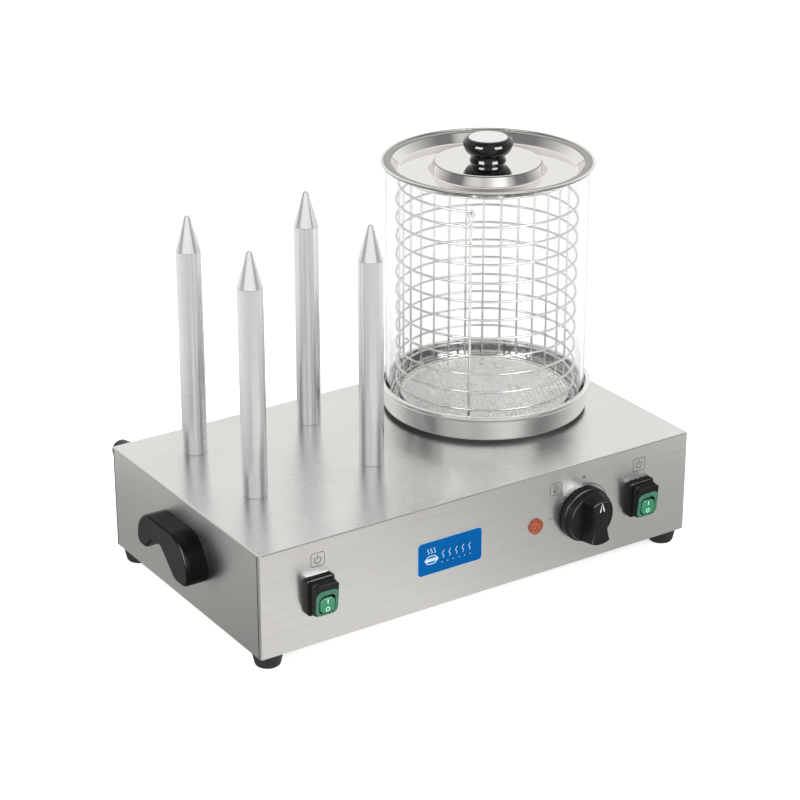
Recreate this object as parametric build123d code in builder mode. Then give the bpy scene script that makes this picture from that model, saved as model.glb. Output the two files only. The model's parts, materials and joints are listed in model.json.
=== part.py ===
"""Electric hot dog steamer with four heated bun spikes.

A folded stainless housing stands on four rubber feet. On its left half are four heated
aluminium spikes. On its right half a water pan hangs through the top, under a collar that
carries a glass cylinder, a wire basket and a spun lid. The controls are on the front.

Frame, in millimetres: +X to the right seen from the front, +Y to the back, +Z up. The origin
is on the ground, under the middle of the housing.
"""

import os
from math import asin, atan2, cos, hypot, radians, sin

from build123d import *

# Housing
body_length = 490.0
body_depth = 282.0
body_height = 105.0
foot_height = 15.0
sheet = 1.2
corner_radius = 3.0
bend_radius = 1.5
wrap = 4.0
seam_gap = 0.2
flange_width = 12.0
flange_length = 430.0
side_flange_length = 210.0
tapped_hole_radius = 2.15
clearance_hole_radius = 2.6
base_screw_head = (3.6, 2.2)
base_screw_length = 6.0
vent_x = 130.0
vent_grid = (44.0, 14.0, 4, 6)
vent_slot = (34.0, 4.5)
body_top = foot_height + body_height
half_length = body_length / 2
half_depth = body_depth / 2
inner_top = body_top - sheet
base_top = foot_height + sheet
front_projection = 30.0

# Feet
foot_x = 229.0
foot_y = 125.0
foot_places = {
    "front_left": (-foot_x, -foot_y),
    "front_right": (foot_x, -foot_y),
    "rear_left": (-foot_x, foot_y),
    "rear_right": (foot_x, foot_y),
}
foot_top_radius = 15.0
foot_low_radius = 12.4
foot_screw_radius = 2.5
foot_recess_radius = 6.0
foot_recess_top = 7.0
foot_edge_radius = 3.0
foot_screw_head = (5.0, 3.4)
foot_screw_length = 16.0
small_nut = (8.0, 4.0)

# Handles
handle_projection = 22.0
handle_back = 52.0
handle_front = -46.0
handle_top = 97.0
handle_back_end = 60.0
handle_front_end = 50.0
handle_notch_back = 36.0
handle_notch_front = -20.0
handle_notch_top = (6.0, 22.0, 74.0)
handle_screw_y = 37.0
handle_screw_z = 66.0
handle_screw_radius = 2.0
handle_screw_head = (4.0, 2.6)
handle_screw_grip = 12.5
handle_bore_depth = 14.0
handle_front_shoulder = 33.0
handle_back_shoulder = 26.5
handle_corner_radii = ((handle_front_end, 12.0), (handle_back_end, 8.0), (handle_notch_top[2], 6.0))
handle_edge_radius = 3.2

# Spikes
spike_centre = (-117.5, 30.0)
spike_spacing = (129.0, 115.0)
spike_radius = 12.0
spike_bore = 10.0
spike_straight = 206.5
spike_height = 241.0
spike_tip_radius = 3.0
joint_line = 0.6
spike_stud_radius = 5.0
spike_stud_length = 14.0
spike_stem_radius = 2.4
spike_floor = 5.0
spike_roof = 7.0
spike_stud_wall = 2.0
spike_nut = (17.0, 6.0)
stem_low = 20.0
cartridge_radius = 6.5
cartridge_low = 12.0
cartridge_length = 170.0

# Steaming cylinder: heights are above the housing's top
cylinder_centre = (119.5, 30.0)
cylinder_x, cylinder_y = cylinder_centre
gasket_height = 4.0
pan_sheet = 1.0
pan_radius = 88.0
pan_opening_radius = 89.5
pan_corner_radius = 8.0
pan_depth = 55.0
pan_flange_radius = 101.8
pan_flange_top = gasket_height + pan_sheet
collar_top = 28.6
collar_foot_radius = 102.5
collar_shoulder_radius = 105.2
collar_lip_radius = 106.2
collar_bore_radius = 101.2
collar_lip_depth = 2.2
collar_shoulder_depth = 4.5
collar_ledge_depth = 3.0
collar_groove_radii = (98.8, 98.2)
collar_edge_radius = 0.9
collar_ledge_radius = 93.2
collar_screw_ring = 96.0
collar_screw_radius = 2.0
collar_screw_head = (3.6, 2.4)
collar_screw_grip = 7.6
glass_radius = 100.0
glass_wall = 3.5
glass_low = 15.3
glass_top = 255.0
glass_chamfer = 0.7
body_gap = 0.3
steam_plate_top = 11.2
steam_plate_radius = 92.8
steam_hole_radius = 3.0
plate_ring_step = 15.0

# Basket
wire_radius = 1.1
cradle_wire_radius = 1.3
weld_depth = 0.05
ring_radius = 89.0
ring_count = 11
ring_low = 30.4
ring_pitch = 18.8
ring_top = ring_low + ring_pitch * (ring_count - 1)
upright_radius = ring_radius - 2 * wire_radius + weld_depth
cradle_radius = ring_radius - wire_radius - cradle_wire_radius + weld_depth
foot_ring_radius = upright_radius - 2 * wire_radius + weld_depth
cradle_low = steam_plate_top + body_gap + cradle_wire_radius
floor_low = cradle_low + cradle_wire_radius
floor_thickness = 1.0
floor_radius = 84.0
floor_hole_radius = 2.5
foot_ring_height = floor_low + floor_thickness + wire_radius
bail_azimuth = 44.6
bail_pivot_height = 230.5
bail_eye_radius = 3.1
bail_rise = 3.0
bail_arc = 81.0
bail_straight = 6.0
bail_bend = 2.5
bail_end = 4.5
cradle_bend = 8.0
upright_step = 12.0
upright_first = -5
upright_last = 8

# Lid
lid_sheet = 0.9
lid_rim_radius = 103.2
lid_bead_radius = 1.5
lid_knob_height = 23.4
lid_dish_depth = 9.6
knob_base = 256.7
lid_screw_radius = 2.5
lid_screw_head = (6.0, 3.0)
lid_screw_length = 16.0
lid_knob_bore = 18.0
lid_rim_inner = 95.4
lid_dish_outer = 88.6
lid_dish_inner = 57.0
lid_plateau_radius = 51.6
lid_wall_shift = 0.55

# Front panel controls, as (x, z) on the front face
control_z = 66.8
switch_x = 184.0
thermostat_x = 116.6
lamp_x = 59.9
label_place = (-39.5, 67.4)
label_size = (72.6, 34.3)
label_thickness = 0.5
label_corner = 4.0
switch_base = (29.5, 37.5)
switch_collar = (24.6, 33.4)
switch_opening = (20.4, 30.6)
switch_base_height = 6.5
switch_collar_height = 13.0
switch_body_depth = 28.0
switch_body_size = (21.0, 31.0)
switch_cutout = (22.0, 32.0)
rocker_pin_reach = 11.4
rocker_back = 4.5
terminal_length = 8.0
rocker_pivot_out = 8.0
rocker_radius = 14.9
rocker_face_out = 6.8
rocker_width = 19.6
rocker_tilt = 9.0
rocker_pin_radius = 1.2
thermostat_shaft_radius = 3.0
thermostat_hole_radius = 5.5
thermostat_screw_spots = ((-14.0, 0.0), (14.0, 0.0))
thermostat_screw_head = (3.6, 0.7)
thermostat_box = (46.0, 40.0)
thermostat_depth = 30.0
shaft_depth = 14.0
shaft_reach = 20.0
lamp_hole_radius = 5.2
lamp_stem_radius = 5.0
lamp_flange_radius = 8.0
lamp_dome_radius = 6.6
lamp_flange_top = 2.2
lamp_dome_height = 2.4
lamp_body_depth = 26.0
running_gap = 0.05
knob_skirt_radius = 27.7
knob_drum_radius = 26.0
knob_gap = 1.0
knob_skirt_top = 8.0
knob_drum_top = 15.5
knob_taper = 7.5
knob_scoop_centre = 64.0
knob_waist = 9.0

# Cable gland on the back
gland_place = (-221.5, 101.0)
gland_radius = 13.5
gland_thread_radius = 9.0
gland_bore = 4.2
gland_hex_length = 8.0
gland_thread_length = 14.0

# Inside
heater_ring_radius = 60.0
heater_tube_radius = 4.0
heater_clamp_size = (144.0, 24.0)
heater_clamp_thickness = 2.0
pan_stud_x = 30.0
pan_stud_radius = 2.5
bulb_radius = 3.0
capillary_radius = 1.2
capillary_z = 80.0
capillary_bend = 6.0
bulb_length = 60.0
cutout_radius = 11.0
cutout_height = 9.0
cutout_y = 33.0
lead_radius = 1.4
lead_bend = 5.0

os.makedirs("parts", exist_ok=True)

front_face = Plane.XZ.offset(half_depth)
gland_seat = Plane(origin=(gland_place[0], half_depth, gland_place[1]), x_dir=(-1, 0, 0), z_dir=(0, 1, 0))
top_face = Plane.XY.offset(body_top)
cylinder_base = Plane(origin=(cylinder_x, cylinder_y, body_top))
cylinder_section = Plane(origin=(cylinder_x, cylinder_y, body_top), x_dir=(1, 0, 0), z_dir=(0, -1, 0))
cylinder_axis = Axis((cylinder_x, cylinder_y, 0), (0, 0, 1))
switch_places = {"left": (-switch_x, control_z), "right": (switch_x, control_z)}
base_screw_places = [(x, y) for x in (-150.0, 0.0, 150.0) for y in (-134.0, 134.0)]


def write(part, name):
    """Label a finished piece and write it under its node name."""
    part.label = name
    export_step(part, f"parts/{name}.step")


def hexagon_nut(place, across, height, bore):
    """A hexagon nut that stands on the given point, its axis along Z."""
    with BuildPart() as nut:
        with BuildSketch(Plane(origin=place)):
            RegularPolygon(across / 2, 6, major_radius=False)
            Circle(bore, mode=Mode.SUBTRACT)
        extrude(amount=height)
    return nut.part


def screw(plane, head_radius, head_height, shank_radius, shank_length):
    """A pan head screw: the head's underside is on the plane, and the shank runs along its normal."""
    with BuildPart() as body:
        with BuildSketch(plane):
            Circle(shank_radius)
        extrude(amount=shank_length)
        with BuildSketch(plane):
            Circle(head_radius)
        extrude(amount=-head_height)
        outer_rim = body.edges().filter_by(GeomType.CIRCLE).sort_by(SortBy.RADIUS)[-2:]
        rim = outer_rim.sort_by(Axis(plane.origin, plane.z_dir))[0]
        fillet(rim, head_height * 0.4)
        slot = Plane(origin=plane.origin - plane.z_dir * head_height, x_dir=plane.x_dir, z_dir=plane.z_dir)
        with BuildSketch(slot):
            Rectangle(head_radius * 1.1, head_radius * 0.22)
            Rectangle(head_radius * 0.22, head_radius * 1.1)
        extrude(amount=head_height * 0.45, mode=Mode.SUBTRACT)
    return body.part


# ---------------------------------------------------------------- housing

with BuildPart() as housing_cover:
    with BuildSketch(Plane.XY.offset(foot_height)):
        RectangleRounded(body_length, body_depth, corner_radius)
    extrude(amount=body_height)
    fillet(housing_cover.edges().group_by(Axis.Z)[-1], bend_radius)
    with BuildSketch(Plane.XY.offset(foot_height)):
        Rectangle(body_length - 2 * sheet, body_depth - 2 * sheet)
    extrude(amount=body_height - sheet, mode=Mode.SUBTRACT)
    # The side panels fill these two windows.
    with BuildSketch(Plane.XY.offset(foot_height)):
        with Locations((-half_length, 0), (half_length, 0)):
            Rectangle(4 * sheet, body_depth - 2 * wrap)
    extrude(amount=body_height - bend_radius, mode=Mode.SUBTRACT)
    # Flanges along the bottom edges of the front and the back.
    flange_y = half_depth - sheet - flange_width / 2
    with BuildSketch(Plane.XY.offset(base_top)):
        with Locations((0, -flange_y), (0, flange_y)):
            Rectangle(flange_length, flange_width)
    extrude(amount=sheet)
    with BuildSketch(Plane.XY.offset(base_top)):
        with Locations(*base_screw_places):
            Circle(tapped_hole_radius)
    extrude(amount=sheet, mode=Mode.SUBTRACT)
    with BuildSketch(top_face):
        with Locations(spike_centre):
            with GridLocations(*spike_spacing, 2, 2):
                Circle(spike_stud_radius + seam_gap)
        with Locations(cylinder_centre):
            Circle(pan_opening_radius)
            with PolarLocations(collar_screw_ring, 4, start_angle=45):
                Circle(collar_screw_radius + seam_gap)
    extrude(amount=-sheet, mode=Mode.SUBTRACT)
    with BuildSketch(front_face):
        with Locations(*switch_places.values()):
            RectangleRounded(*switch_cutout, 2.0)
        with Locations((thermostat_x, control_z)):
            Circle(thermostat_hole_radius)
            with Locations(*thermostat_screw_spots):
                Circle(tapped_hole_radius)
        with Locations((lamp_x, control_z)):
            Circle(lamp_hole_radius)
    extrude(amount=-sheet, mode=Mode.SUBTRACT)
    with BuildSketch(gland_seat):
        Circle(gland_thread_radius + seam_gap)
    extrude(amount=-sheet, mode=Mode.SUBTRACT)
write(housing_cover.part, "housing_cover")

for side, name in ((-1, "left"), (1, "right")):
    outer_face = Plane.YZ.offset(side * half_length)
    with BuildPart() as side_panel:
        panel_width = body_depth - 2 * wrap - 2 * seam_gap
        panel_height = body_height - bend_radius - seam_gap
        with BuildSketch(outer_face):
            with Locations((0, foot_height + panel_height / 2)):
                Rectangle(panel_width, panel_height)
            with Locations((-handle_screw_y, handle_screw_z), (handle_screw_y, handle_screw_z)):
                Circle(handle_screw_radius + seam_gap, mode=Mode.SUBTRACT)
        extrude(amount=-side * sheet)
        with BuildSketch(Plane.XY.offset(base_top)):
            with Locations((side * (half_length - sheet - flange_width / 2), 0)):
                Rectangle(flange_width, side_flange_length)
        extrude(amount=sheet)
    write(side_panel.part, f"{name}_side_panel")

    with BuildPart() as handle:
        with BuildSketch(outer_face) as arch:
            notch_front, notch_back, notch_top = handle_notch_top
            with BuildLine():
                Polyline(
                    (handle_front, handle_top), (handle_back, handle_top), (handle_back, handle_back_end),
                    (handle_notch_back, handle_back_end), (notch_back, notch_top), (notch_front, notch_top),
                    (handle_notch_front, handle_front_end), (handle_front, handle_front_end), close=True)
            make_face()
            fillet(arch.vertices().group_by(Axis.Y)[-1].sort_by(Axis.X)[0], handle_front_shoulder)
            fillet(arch.vertices().group_by(Axis.Y)[-1].sort_by(Axis.X)[-1], handle_back_shoulder)
            for height, radius in handle_corner_radii:
                fillet(arch.vertices().filter_by_position(Axis.Y, height - 0.1, height + 0.1), radius)
        extrude(amount=side * handle_projection)
        outer_edges = handle.edges().group_by(Axis.X)[0 if side < 0 else -1]
        fillet(outer_edges, handle_edge_radius)
        with BuildSketch(outer_face):
            with Locations((-handle_screw_y, handle_screw_z), (handle_screw_y, handle_screw_z)):
                Circle(handle_screw_radius + running_gap)
        extrude(amount=side * handle_bore_depth, mode=Mode.SUBTRACT)
    write(handle.part, f"{name}_handle")

handle_screw_parts = []
for side in (-1, 1):
    for y in (-handle_screw_y, handle_screw_y):
        head = (side * (half_length - sheet), y, handle_screw_z)
        seat = Plane(origin=head, x_dir=(0, 1, 0), z_dir=(side, 0, 0))
        grip = sheet + handle_screw_grip
        handle_screw_parts.append(screw(seat, *handle_screw_head, handle_screw_radius, grip))
write(Compound(children=handle_screw_parts), "handle_screws")

with BuildPart() as base_plate:
    with BuildSketch(Plane.XY.offset(foot_height)):
        Rectangle(body_length - 2 * sheet - 2 * seam_gap, body_depth - 2 * sheet - 2 * seam_gap)
        with Locations(*base_screw_places, *foot_places.values()):
            Circle(clearance_hole_radius, mode=Mode.SUBTRACT)
        with Locations((-vent_x, 0), (vent_x, 0)):
            with GridLocations(*vent_grid):
                SlotOverall(*vent_slot, mode=Mode.SUBTRACT)
    extrude(amount=sheet)
write(base_plate.part, "base_plate")

base_screw_parts = [
    screw(Plane(origin=(x, y, foot_height)), *base_screw_head, 2.0, base_screw_length)
    for x, y in base_screw_places
]
write(Compound(children=base_screw_parts), "base_screws")

for corner, (x, y) in foot_places.items():
    with BuildPart() as foot:
        with BuildSketch(Plane(origin=(x, y, 0))):
            Circle(foot_low_radius - 0.6)
        with BuildSketch(Plane(origin=(x, y, foot_height))):
            Circle(foot_top_radius)
        loft()
        fillet(foot.edges().group_by(Axis.Z)[0], foot_edge_radius)
        with BuildSketch(Plane(origin=(x, y, 0))):
            Circle(foot_recess_radius)
        extrude(amount=foot_recess_top, mode=Mode.SUBTRACT)
        with BuildSketch(Plane(origin=(x, y, 0))):
            Circle(foot_screw_radius + 0.1)
        extrude(amount=foot_height, mode=Mode.SUBTRACT)
    write(foot.part, f"foot_{corner}")

foot_screw_parts = [
    screw(Plane(origin=(x, y, foot_recess_top)), *foot_screw_head, foot_screw_radius, foot_screw_length)
    for x, y in foot_places.values()
]
write(Compound(children=foot_screw_parts), "foot_screws")
foot_nut_parts = [
    hexagon_nut((x, y, base_top), *small_nut, foot_screw_radius + running_gap)
    for x, y in foot_places.values()
]
write(Compound(children=foot_nut_parts), "foot_nuts")

with BuildPart() as label_plate:
    with BuildSketch(front_face):
        with Locations(label_place):
            RectangleRounded(*label_size, label_corner)
    extrude(amount=label_thickness)
write(label_plate.part, "label_plate")

# ---------------------------------------------------------------- heated spikes

spike_x = (spike_centre[0] - spike_spacing[0] / 2, spike_centre[0] + spike_spacing[0] / 2)
spike_y = (spike_centre[1] - spike_spacing[1] / 2, spike_centre[1] + spike_spacing[1] / 2)
spike_places = {
    "front_left": (spike_x[0], spike_y[0]),
    "front_right": (spike_x[1], spike_y[0]),
    "rear_left": (spike_x[0], spike_y[1]),
    "rear_right": (spike_x[1], spike_y[1]),
}
tip_centre = spike_height - spike_tip_radius
cone_length = tip_centre - spike_straight
cone_angle = atan2(spike_radius, cone_length) - asin(spike_tip_radius / hypot(spike_radius, cone_length))
tip_angle = (cone_angle + radians(90)) / 2
cone_end = (spike_tip_radius * cos(cone_angle), tip_centre + spike_tip_radius * sin(cone_angle))
tip_middle = (spike_tip_radius * cos(tip_angle), tip_centre + spike_tip_radius * sin(tip_angle))
for corner, (x, y) in spike_places.items():
    section = Plane(origin=(x, y, body_top), x_dir=(1, 0, 0), z_dir=(0, -1, 0))
    with BuildPart() as spike:
        with BuildSketch(section):
            with BuildLine():
                Polyline((0, 0), (spike_radius, 0), (spike_radius, spike_straight - joint_line),
                         (spike_radius - joint_line / 2, spike_straight), cone_end)
                ThreePointArc(cone_end, tip_middle, (0, spike_height))
                Line((0, spike_height), (0, 0))
            make_face()
        revolve(axis=Axis((x, y, 0), (0, 0, 1)))
        with BuildSketch(Plane(origin=(x, y, body_top))):
            Circle(spike_stud_radius)
        extrude(amount=-spike_stud_length)
        with BuildSketch(Plane(origin=(x, y, body_top + spike_floor))):
            Circle(spike_bore)
        extrude(amount=spike_straight - spike_floor - spike_roof, mode=Mode.SUBTRACT)
        with BuildSketch(Plane(origin=(x, y, body_top - spike_stud_length))):
            Circle(spike_stud_radius - spike_stud_wall)
        extrude(amount=spike_stud_length + spike_floor + 1, mode=Mode.SUBTRACT)
    write(spike.part, f"spike_{corner}")

spike_heater_parts = []
for x, y in spike_places.values():
    with BuildPart() as heater:
        with BuildSketch(Plane(origin=(x, y, body_top - stem_low))):
            Circle(spike_stem_radius)
        extrude(amount=stem_low + cartridge_low)
        with BuildSketch(Plane(origin=(x, y, body_top + cartridge_low))):
            Circle(cartridge_radius)
        extrude(amount=cartridge_length)
    spike_heater_parts.append(heater.part)
write(Compound(children=spike_heater_parts), "spike_heaters")

spike_nut_parts = [
    hexagon_nut((x, y, inner_top - spike_nut[1]), *spike_nut, spike_stud_radius + running_gap)
    for x, y in spike_places.values()
]
write(Compound(children=spike_nut_parts), "spike_nuts")

# ---------------------------------------------------------------- water pan and collar

with BuildPart() as pan_gasket:
    with BuildSketch(cylinder_base):
        Circle(pan_flange_radius)
        Circle(pan_opening_radius, mode=Mode.SUBTRACT)
        with PolarLocations(collar_screw_ring, 4, start_angle=45):
            Circle(collar_screw_radius + seam_gap, mode=Mode.SUBTRACT)
    extrude(amount=gasket_height)
write(pan_gasket.part, "pan_gasket")

with BuildPart() as pan_hollow:
    with BuildSketch(cylinder_base.offset(pan_sheet - pan_depth)):
        Circle(pan_radius - pan_sheet)
    extrude(amount=pan_depth + pan_flange_top)
    fillet(pan_hollow.edges().group_by(Axis.Z)[0], pan_corner_radius - pan_sheet)

with BuildPart() as water_pan:
    with BuildSketch(cylinder_base.offset(-pan_depth)):
        Circle(pan_radius)
    extrude(amount=pan_depth + pan_flange_top)
    fillet(water_pan.edges().group_by(Axis.Z)[0], pan_corner_radius)
    with BuildSketch(cylinder_base.offset(gasket_height)):
        Circle(pan_flange_radius)
    extrude(amount=pan_sheet)
    add(pan_hollow.part, mode=Mode.SUBTRACT)
    with BuildSketch(cylinder_base.offset(pan_flange_top)):
        with PolarLocations(collar_screw_ring, 4, start_angle=45):
            Circle(collar_screw_radius + seam_gap)
    extrude(amount=-pan_sheet, mode=Mode.SUBTRACT)
    with BuildSketch(cylinder_base.offset(-pan_depth)):
        with Locations((-pan_stud_x, 0), (pan_stud_x, 0)):
            Circle(pan_stud_radius)
    extrude(amount=-18)
write(water_pan.part, "water_pan")

ledge_top = glass_low - body_gap
with BuildPart() as pan_collar:
    with BuildSketch(cylinder_section):
        with BuildLine():
            Polyline(
                (collar_ledge_radius, pan_flange_top), (collar_foot_radius, pan_flange_top),
                (collar_shoulder_radius, collar_top - collar_shoulder_depth),
                (collar_lip_radius, collar_top - collar_lip_depth), (collar_lip_radius, collar_top),
                (collar_bore_radius, collar_top), (collar_bore_radius, ledge_top),
                (collar_ledge_radius, ledge_top), (collar_ledge_radius, ledge_top - collar_ledge_depth),
                (collar_groove_radii[0], ledge_top - collar_ledge_depth),
                (collar_groove_radii[1], pan_flange_top + collar_ledge_depth),
                (collar_ledge_radius, pan_flange_top + collar_ledge_depth), close=True)
        make_face()
    revolve(axis=cylinder_axis)
    fillet(pan_collar.edges().group_by(Axis.Z)[-1], collar_edge_radius)
    with BuildSketch(cylinder_base.offset(pan_flange_top)):
        with PolarLocations(collar_screw_ring, 4, start_angle=45):
            Circle(collar_screw_radius + running_gap)
    extrude(amount=collar_ledge_depth, mode=Mode.SUBTRACT)
write(pan_collar.part, "pan_collar")

collar_screw_parts = []
for angle in (45, 135, 225, 315):
    x = cylinder_x + collar_screw_ring * cos(radians(angle))
    y = cylinder_y + collar_screw_ring * sin(radians(angle))
    seat = Plane(origin=(x, y, inner_top))
    grip = sheet + collar_screw_grip
    collar_screw_parts.append(screw(seat, *collar_screw_head, collar_screw_radius, grip))
write(Compound(children=collar_screw_parts), "collar_screws")

steam_plate_low = pan_flange_top + body_gap
with BuildPart() as steam_plate:
    with BuildSketch(cylinder_base.offset(steam_plate_low)):
        Circle(steam_plate_radius)
    extrude(amount=steam_plate_top - steam_plate_low)
    fillet(steam_plate.edges().group_by(Axis.Z)[-1], 1.5)
    with BuildSketch(cylinder_base.offset(steam_plate_low)):
        Circle(steam_plate_radius - 1)
    extrude(amount=steam_plate_top - steam_plate_low - 1, mode=Mode.SUBTRACT)
    with BuildSketch(cylinder_base.offset(steam_plate_top)):
        Circle(steam_hole_radius)
        for ring in range(1, 6):
            with PolarLocations(plate_ring_step * ring, 6 * ring):
                Circle(steam_hole_radius)
    extrude(amount=-1, mode=Mode.SUBTRACT)
write(steam_plate.part, "steam_plate")

heater_z = body_top - pan_depth - heater_tube_radius - 0.1
with BuildPart() as pan_heater:
    with BuildSketch(Plane(origin=(cylinder_x + heater_ring_radius, cylinder_y, heater_z), x_dir=(1, 0, 0),
                           z_dir=(0, 1, 0))):
        Circle(heater_tube_radius)
    revolve(axis=cylinder_axis, revolution_arc=330)
write(pan_heater.part, "pan_heater")

clamp_top = heater_z - heater_tube_radius - 0.1
with BuildPart() as heater_clamp:
    with BuildSketch(Plane(origin=(cylinder_x, cylinder_y, clamp_top))):
        SlotOverall(*heater_clamp_size)
        with Locations((-pan_stud_x, 0), (pan_stud_x, 0)):
            Circle(pan_stud_radius + seam_gap, mode=Mode.SUBTRACT)
    extrude(amount=-heater_clamp_thickness)
write(heater_clamp.part, "heater_clamp")
clamp_nut_parts = [
    hexagon_nut((cylinder_x + x, cylinder_y, clamp_top - 6), *small_nut, pan_stud_radius + running_gap)
    for x in (-pan_stud_x, pan_stud_x)
]
write(Compound(children=clamp_nut_parts), "heater_nuts")

with BuildPart() as safety_cutout:
    cutout_seat = Plane(origin=(cylinder_x, cylinder_y + cutout_y, body_top - pan_depth - 0.1))
    with BuildSketch(cutout_seat):
        Circle(cutout_radius)
    extrude(amount=-cutout_height)
    with BuildSketch(cutout_seat.offset(0.1 - cutout_height)):
        with Locations((-5, 0), (5, 0)):
            Rectangle(1, 6)
    extrude(amount=-terminal_length)
write(safety_cutout.part, "safety_cutout")

# ---------------------------------------------------------------- glass, basket and lid

with BuildPart() as glass_cylinder:
    with BuildSketch(cylinder_base.offset(glass_low)):
        Circle(glass_radius)
        Circle(glass_radius - glass_wall, mode=Mode.SUBTRACT)
    extrude(amount=glass_top - glass_low)
    chamfer(glass_cylinder.edges(), glass_chamfer)
write(glass_cylinder.part, "glass_cylinder")


def wire_ring(height, radius):
    """One ring of basket wire."""
    middle = (cylinder_x + radius, cylinder_y, body_top + height)
    start = Plane(origin=middle, x_dir=(1, 0, 0), z_dir=(0, 1, 0))
    with BuildPart() as ring:
        with BuildSketch(start):
            Circle(wire_radius)
        revolve(axis=cylinder_axis)
    return ring.part


ring_parts = [wire_ring(ring_low + ring_pitch * k, ring_radius) for k in range(ring_count)]
ring_parts.append(wire_ring(foot_ring_height, foot_ring_radius))
write(Compound(children=ring_parts), "basket_rings")

upright_parts = []
for k in range(upright_first, upright_last + 1):
    if k == 0:
        continue  # The cradle's leg is in this place.
    angle = radians(bail_azimuth + upright_step * k)
    x = cylinder_x + upright_radius * cos(angle)
    y = cylinder_y + upright_radius * sin(angle)
    low = body_top + floor_low + floor_thickness
    with BuildPart() as upright:
        with BuildSketch(Plane(origin=(x, y, low))):
            Circle(wire_radius)
        extrude(amount=body_top + ring_top + wire_radius - low)
    upright_parts.append(upright.part)
write(Compound(children=upright_parts), "basket_uprights")

bail_direction = (cos(radians(bail_azimuth)), sin(radians(bail_azimuth)), 0)
across = Vector(cos(radians(bail_azimuth + 90)), sin(radians(bail_azimuth + 90)), 0)
cradle_plane = Plane(origin=(cylinder_x, cylinder_y, body_top), x_dir=bail_direction, z_dir=-across)
with BuildPart() as basket_cradle:
    leg_top = bail_pivot_height - bail_eye_radius
    with BuildLine(cradle_plane) as cradle_path:
        FilletPolyline((cradle_radius, leg_top), (cradle_radius, cradle_low), (-cradle_radius, cradle_low),
                       (-cradle_radius, leg_top), radius=cradle_bend)
    with BuildSketch(Plane(origin=cradle_path.line @ 0, z_dir=cradle_path.line % 0)):
        Circle(cradle_wire_radius)
    sweep()
    for end in (-1, 1):
        tube_centre = cradle_plane.from_local_coords((end * cradle_radius, leg_top, 0))
        pivot = cradle_plane.from_local_coords((end * cradle_radius, bail_pivot_height, 0))
        with BuildSketch(Plane(origin=tube_centre, x_dir=(0, 0, 1), z_dir=across)):
            Circle(wire_radius)
        revolve(axis=Axis(pivot, bail_direction))
write(basket_cradle.part, "basket_cradle")

with BuildPart() as basket_floor:
    with BuildSketch(cylinder_base.offset(floor_low)):
        Circle(floor_radius)
        Circle(floor_hole_radius, mode=Mode.SUBTRACT)
        for ring in range(1, 6):
            with PolarLocations(plate_ring_step * ring, 7 * ring):
                Circle(floor_hole_radius, mode=Mode.SUBTRACT)
    extrude(amount=floor_thickness)
write(basket_floor.part, "basket_floor")

rise = radians(bail_rise)
bail_plane = Plane(
    origin=(cylinder_x, cylinder_y, body_top + bail_pivot_height), x_dir=bail_direction,
    z_dir=(-across.X * sin(rise), -across.Y * sin(rise), cos(rise)))
with BuildPart() as basket_bail:
    with BuildLine(bail_plane) as bail_path:
        near = FilletPolyline(
            (cradle_radius + bail_end, 0), (bail_arc, 0), (bail_arc, bail_straight), radius=bail_bend)
        bow = ThreePointArc(
            (bail_arc, bail_straight), (0, bail_arc + bail_straight), (-bail_arc, bail_straight))
        far = FilletPolyline(
            (-bail_arc, bail_straight), (-bail_arc, 0), (-cradle_radius - bail_end, 0), radius=bail_bend)
    with BuildSketch(Plane(origin=near @ 0, z_dir=near % 0)):
        Circle(wire_radius)
    sweep()
write(basket_bail.part, "basket_bail")

with BuildPart() as lid_pan:
    under = glass_top + body_gap
    floor_under = under - lid_dish_depth
    floor_top = floor_under + lid_sheet
    plateau_under = knob_base - lid_sheet
    with BuildSketch(cylinder_section):
        with BuildLine():
            Polyline(
                (lid_rim_radius, under), (lid_rim_inner, under), (lid_dish_outer, floor_under),
                (lid_dish_inner, floor_under), (lid_plateau_radius, plateau_under), (0, plateau_under),
                (0, knob_base), (lid_plateau_radius + lid_wall_shift, knob_base),
                (lid_dish_inner + lid_wall_shift, floor_top), (lid_dish_outer - lid_wall_shift, floor_top),
                (lid_rim_inner - lid_wall_shift, under + lid_sheet), (lid_rim_radius, under + lid_sheet),
                close=True)
        make_face()
    revolve(axis=cylinder_axis)
    with BuildSketch(Plane(origin=(cylinder_x + lid_rim_radius, cylinder_y, body_top + under + lid_sheet),
                           x_dir=(1, 0, 0), z_dir=(0, 1, 0))):
        Circle(lid_bead_radius)
    revolve(axis=cylinder_axis)
    with BuildSketch(cylinder_base.offset(knob_base)):
        Circle(lid_screw_radius + seam_gap)
    extrude(amount=-lid_sheet, mode=Mode.SUBTRACT)
write(lid_pan.part, "lid_pan")

with BuildPart() as lid_knob:
    with BuildSketch(Plane(origin=(cylinder_x, cylinder_y, body_top + knob_base), x_dir=(1, 0, 0),
                           z_dir=(0, -1, 0))):
        with BuildLine():
            Line((0, 0), (17.8, 0))
            ThreePointArc((17.8, 0), (17.0, 2.4), (16.9, 5.0))
            ThreePointArc((16.9, 5.0), (17.2, 5.9), (18.1, 6.4))
            ThreePointArc((18.1, 6.4), (22.3, 10.6), (24.3, 16.4))
            ThreePointArc((24.3, 16.4), (24.2, 18.4), (23.4, 20.4))
            ThreePointArc((23.4, 20.4), (22.0, 22.1), (20.0, lid_knob_height))
            Line((20.0, lid_knob_height), (0, lid_knob_height))
            Line((0, lid_knob_height), (0, 0))
        make_face()
    revolve(axis=cylinder_axis)
    with BuildSketch(Plane(origin=(cylinder_x, cylinder_y, body_top + knob_base))):
        Circle(lid_screw_radius + running_gap)
    extrude(amount=lid_knob_bore, mode=Mode.SUBTRACT)
write(lid_knob.part, "lid_knob")
lid_screw_seat = Plane(origin=(cylinder_x, cylinder_y, body_top + knob_base - lid_sheet))
lid_screw = screw(lid_screw_seat, *lid_screw_head, lid_screw_radius, lid_screw_length)
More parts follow.
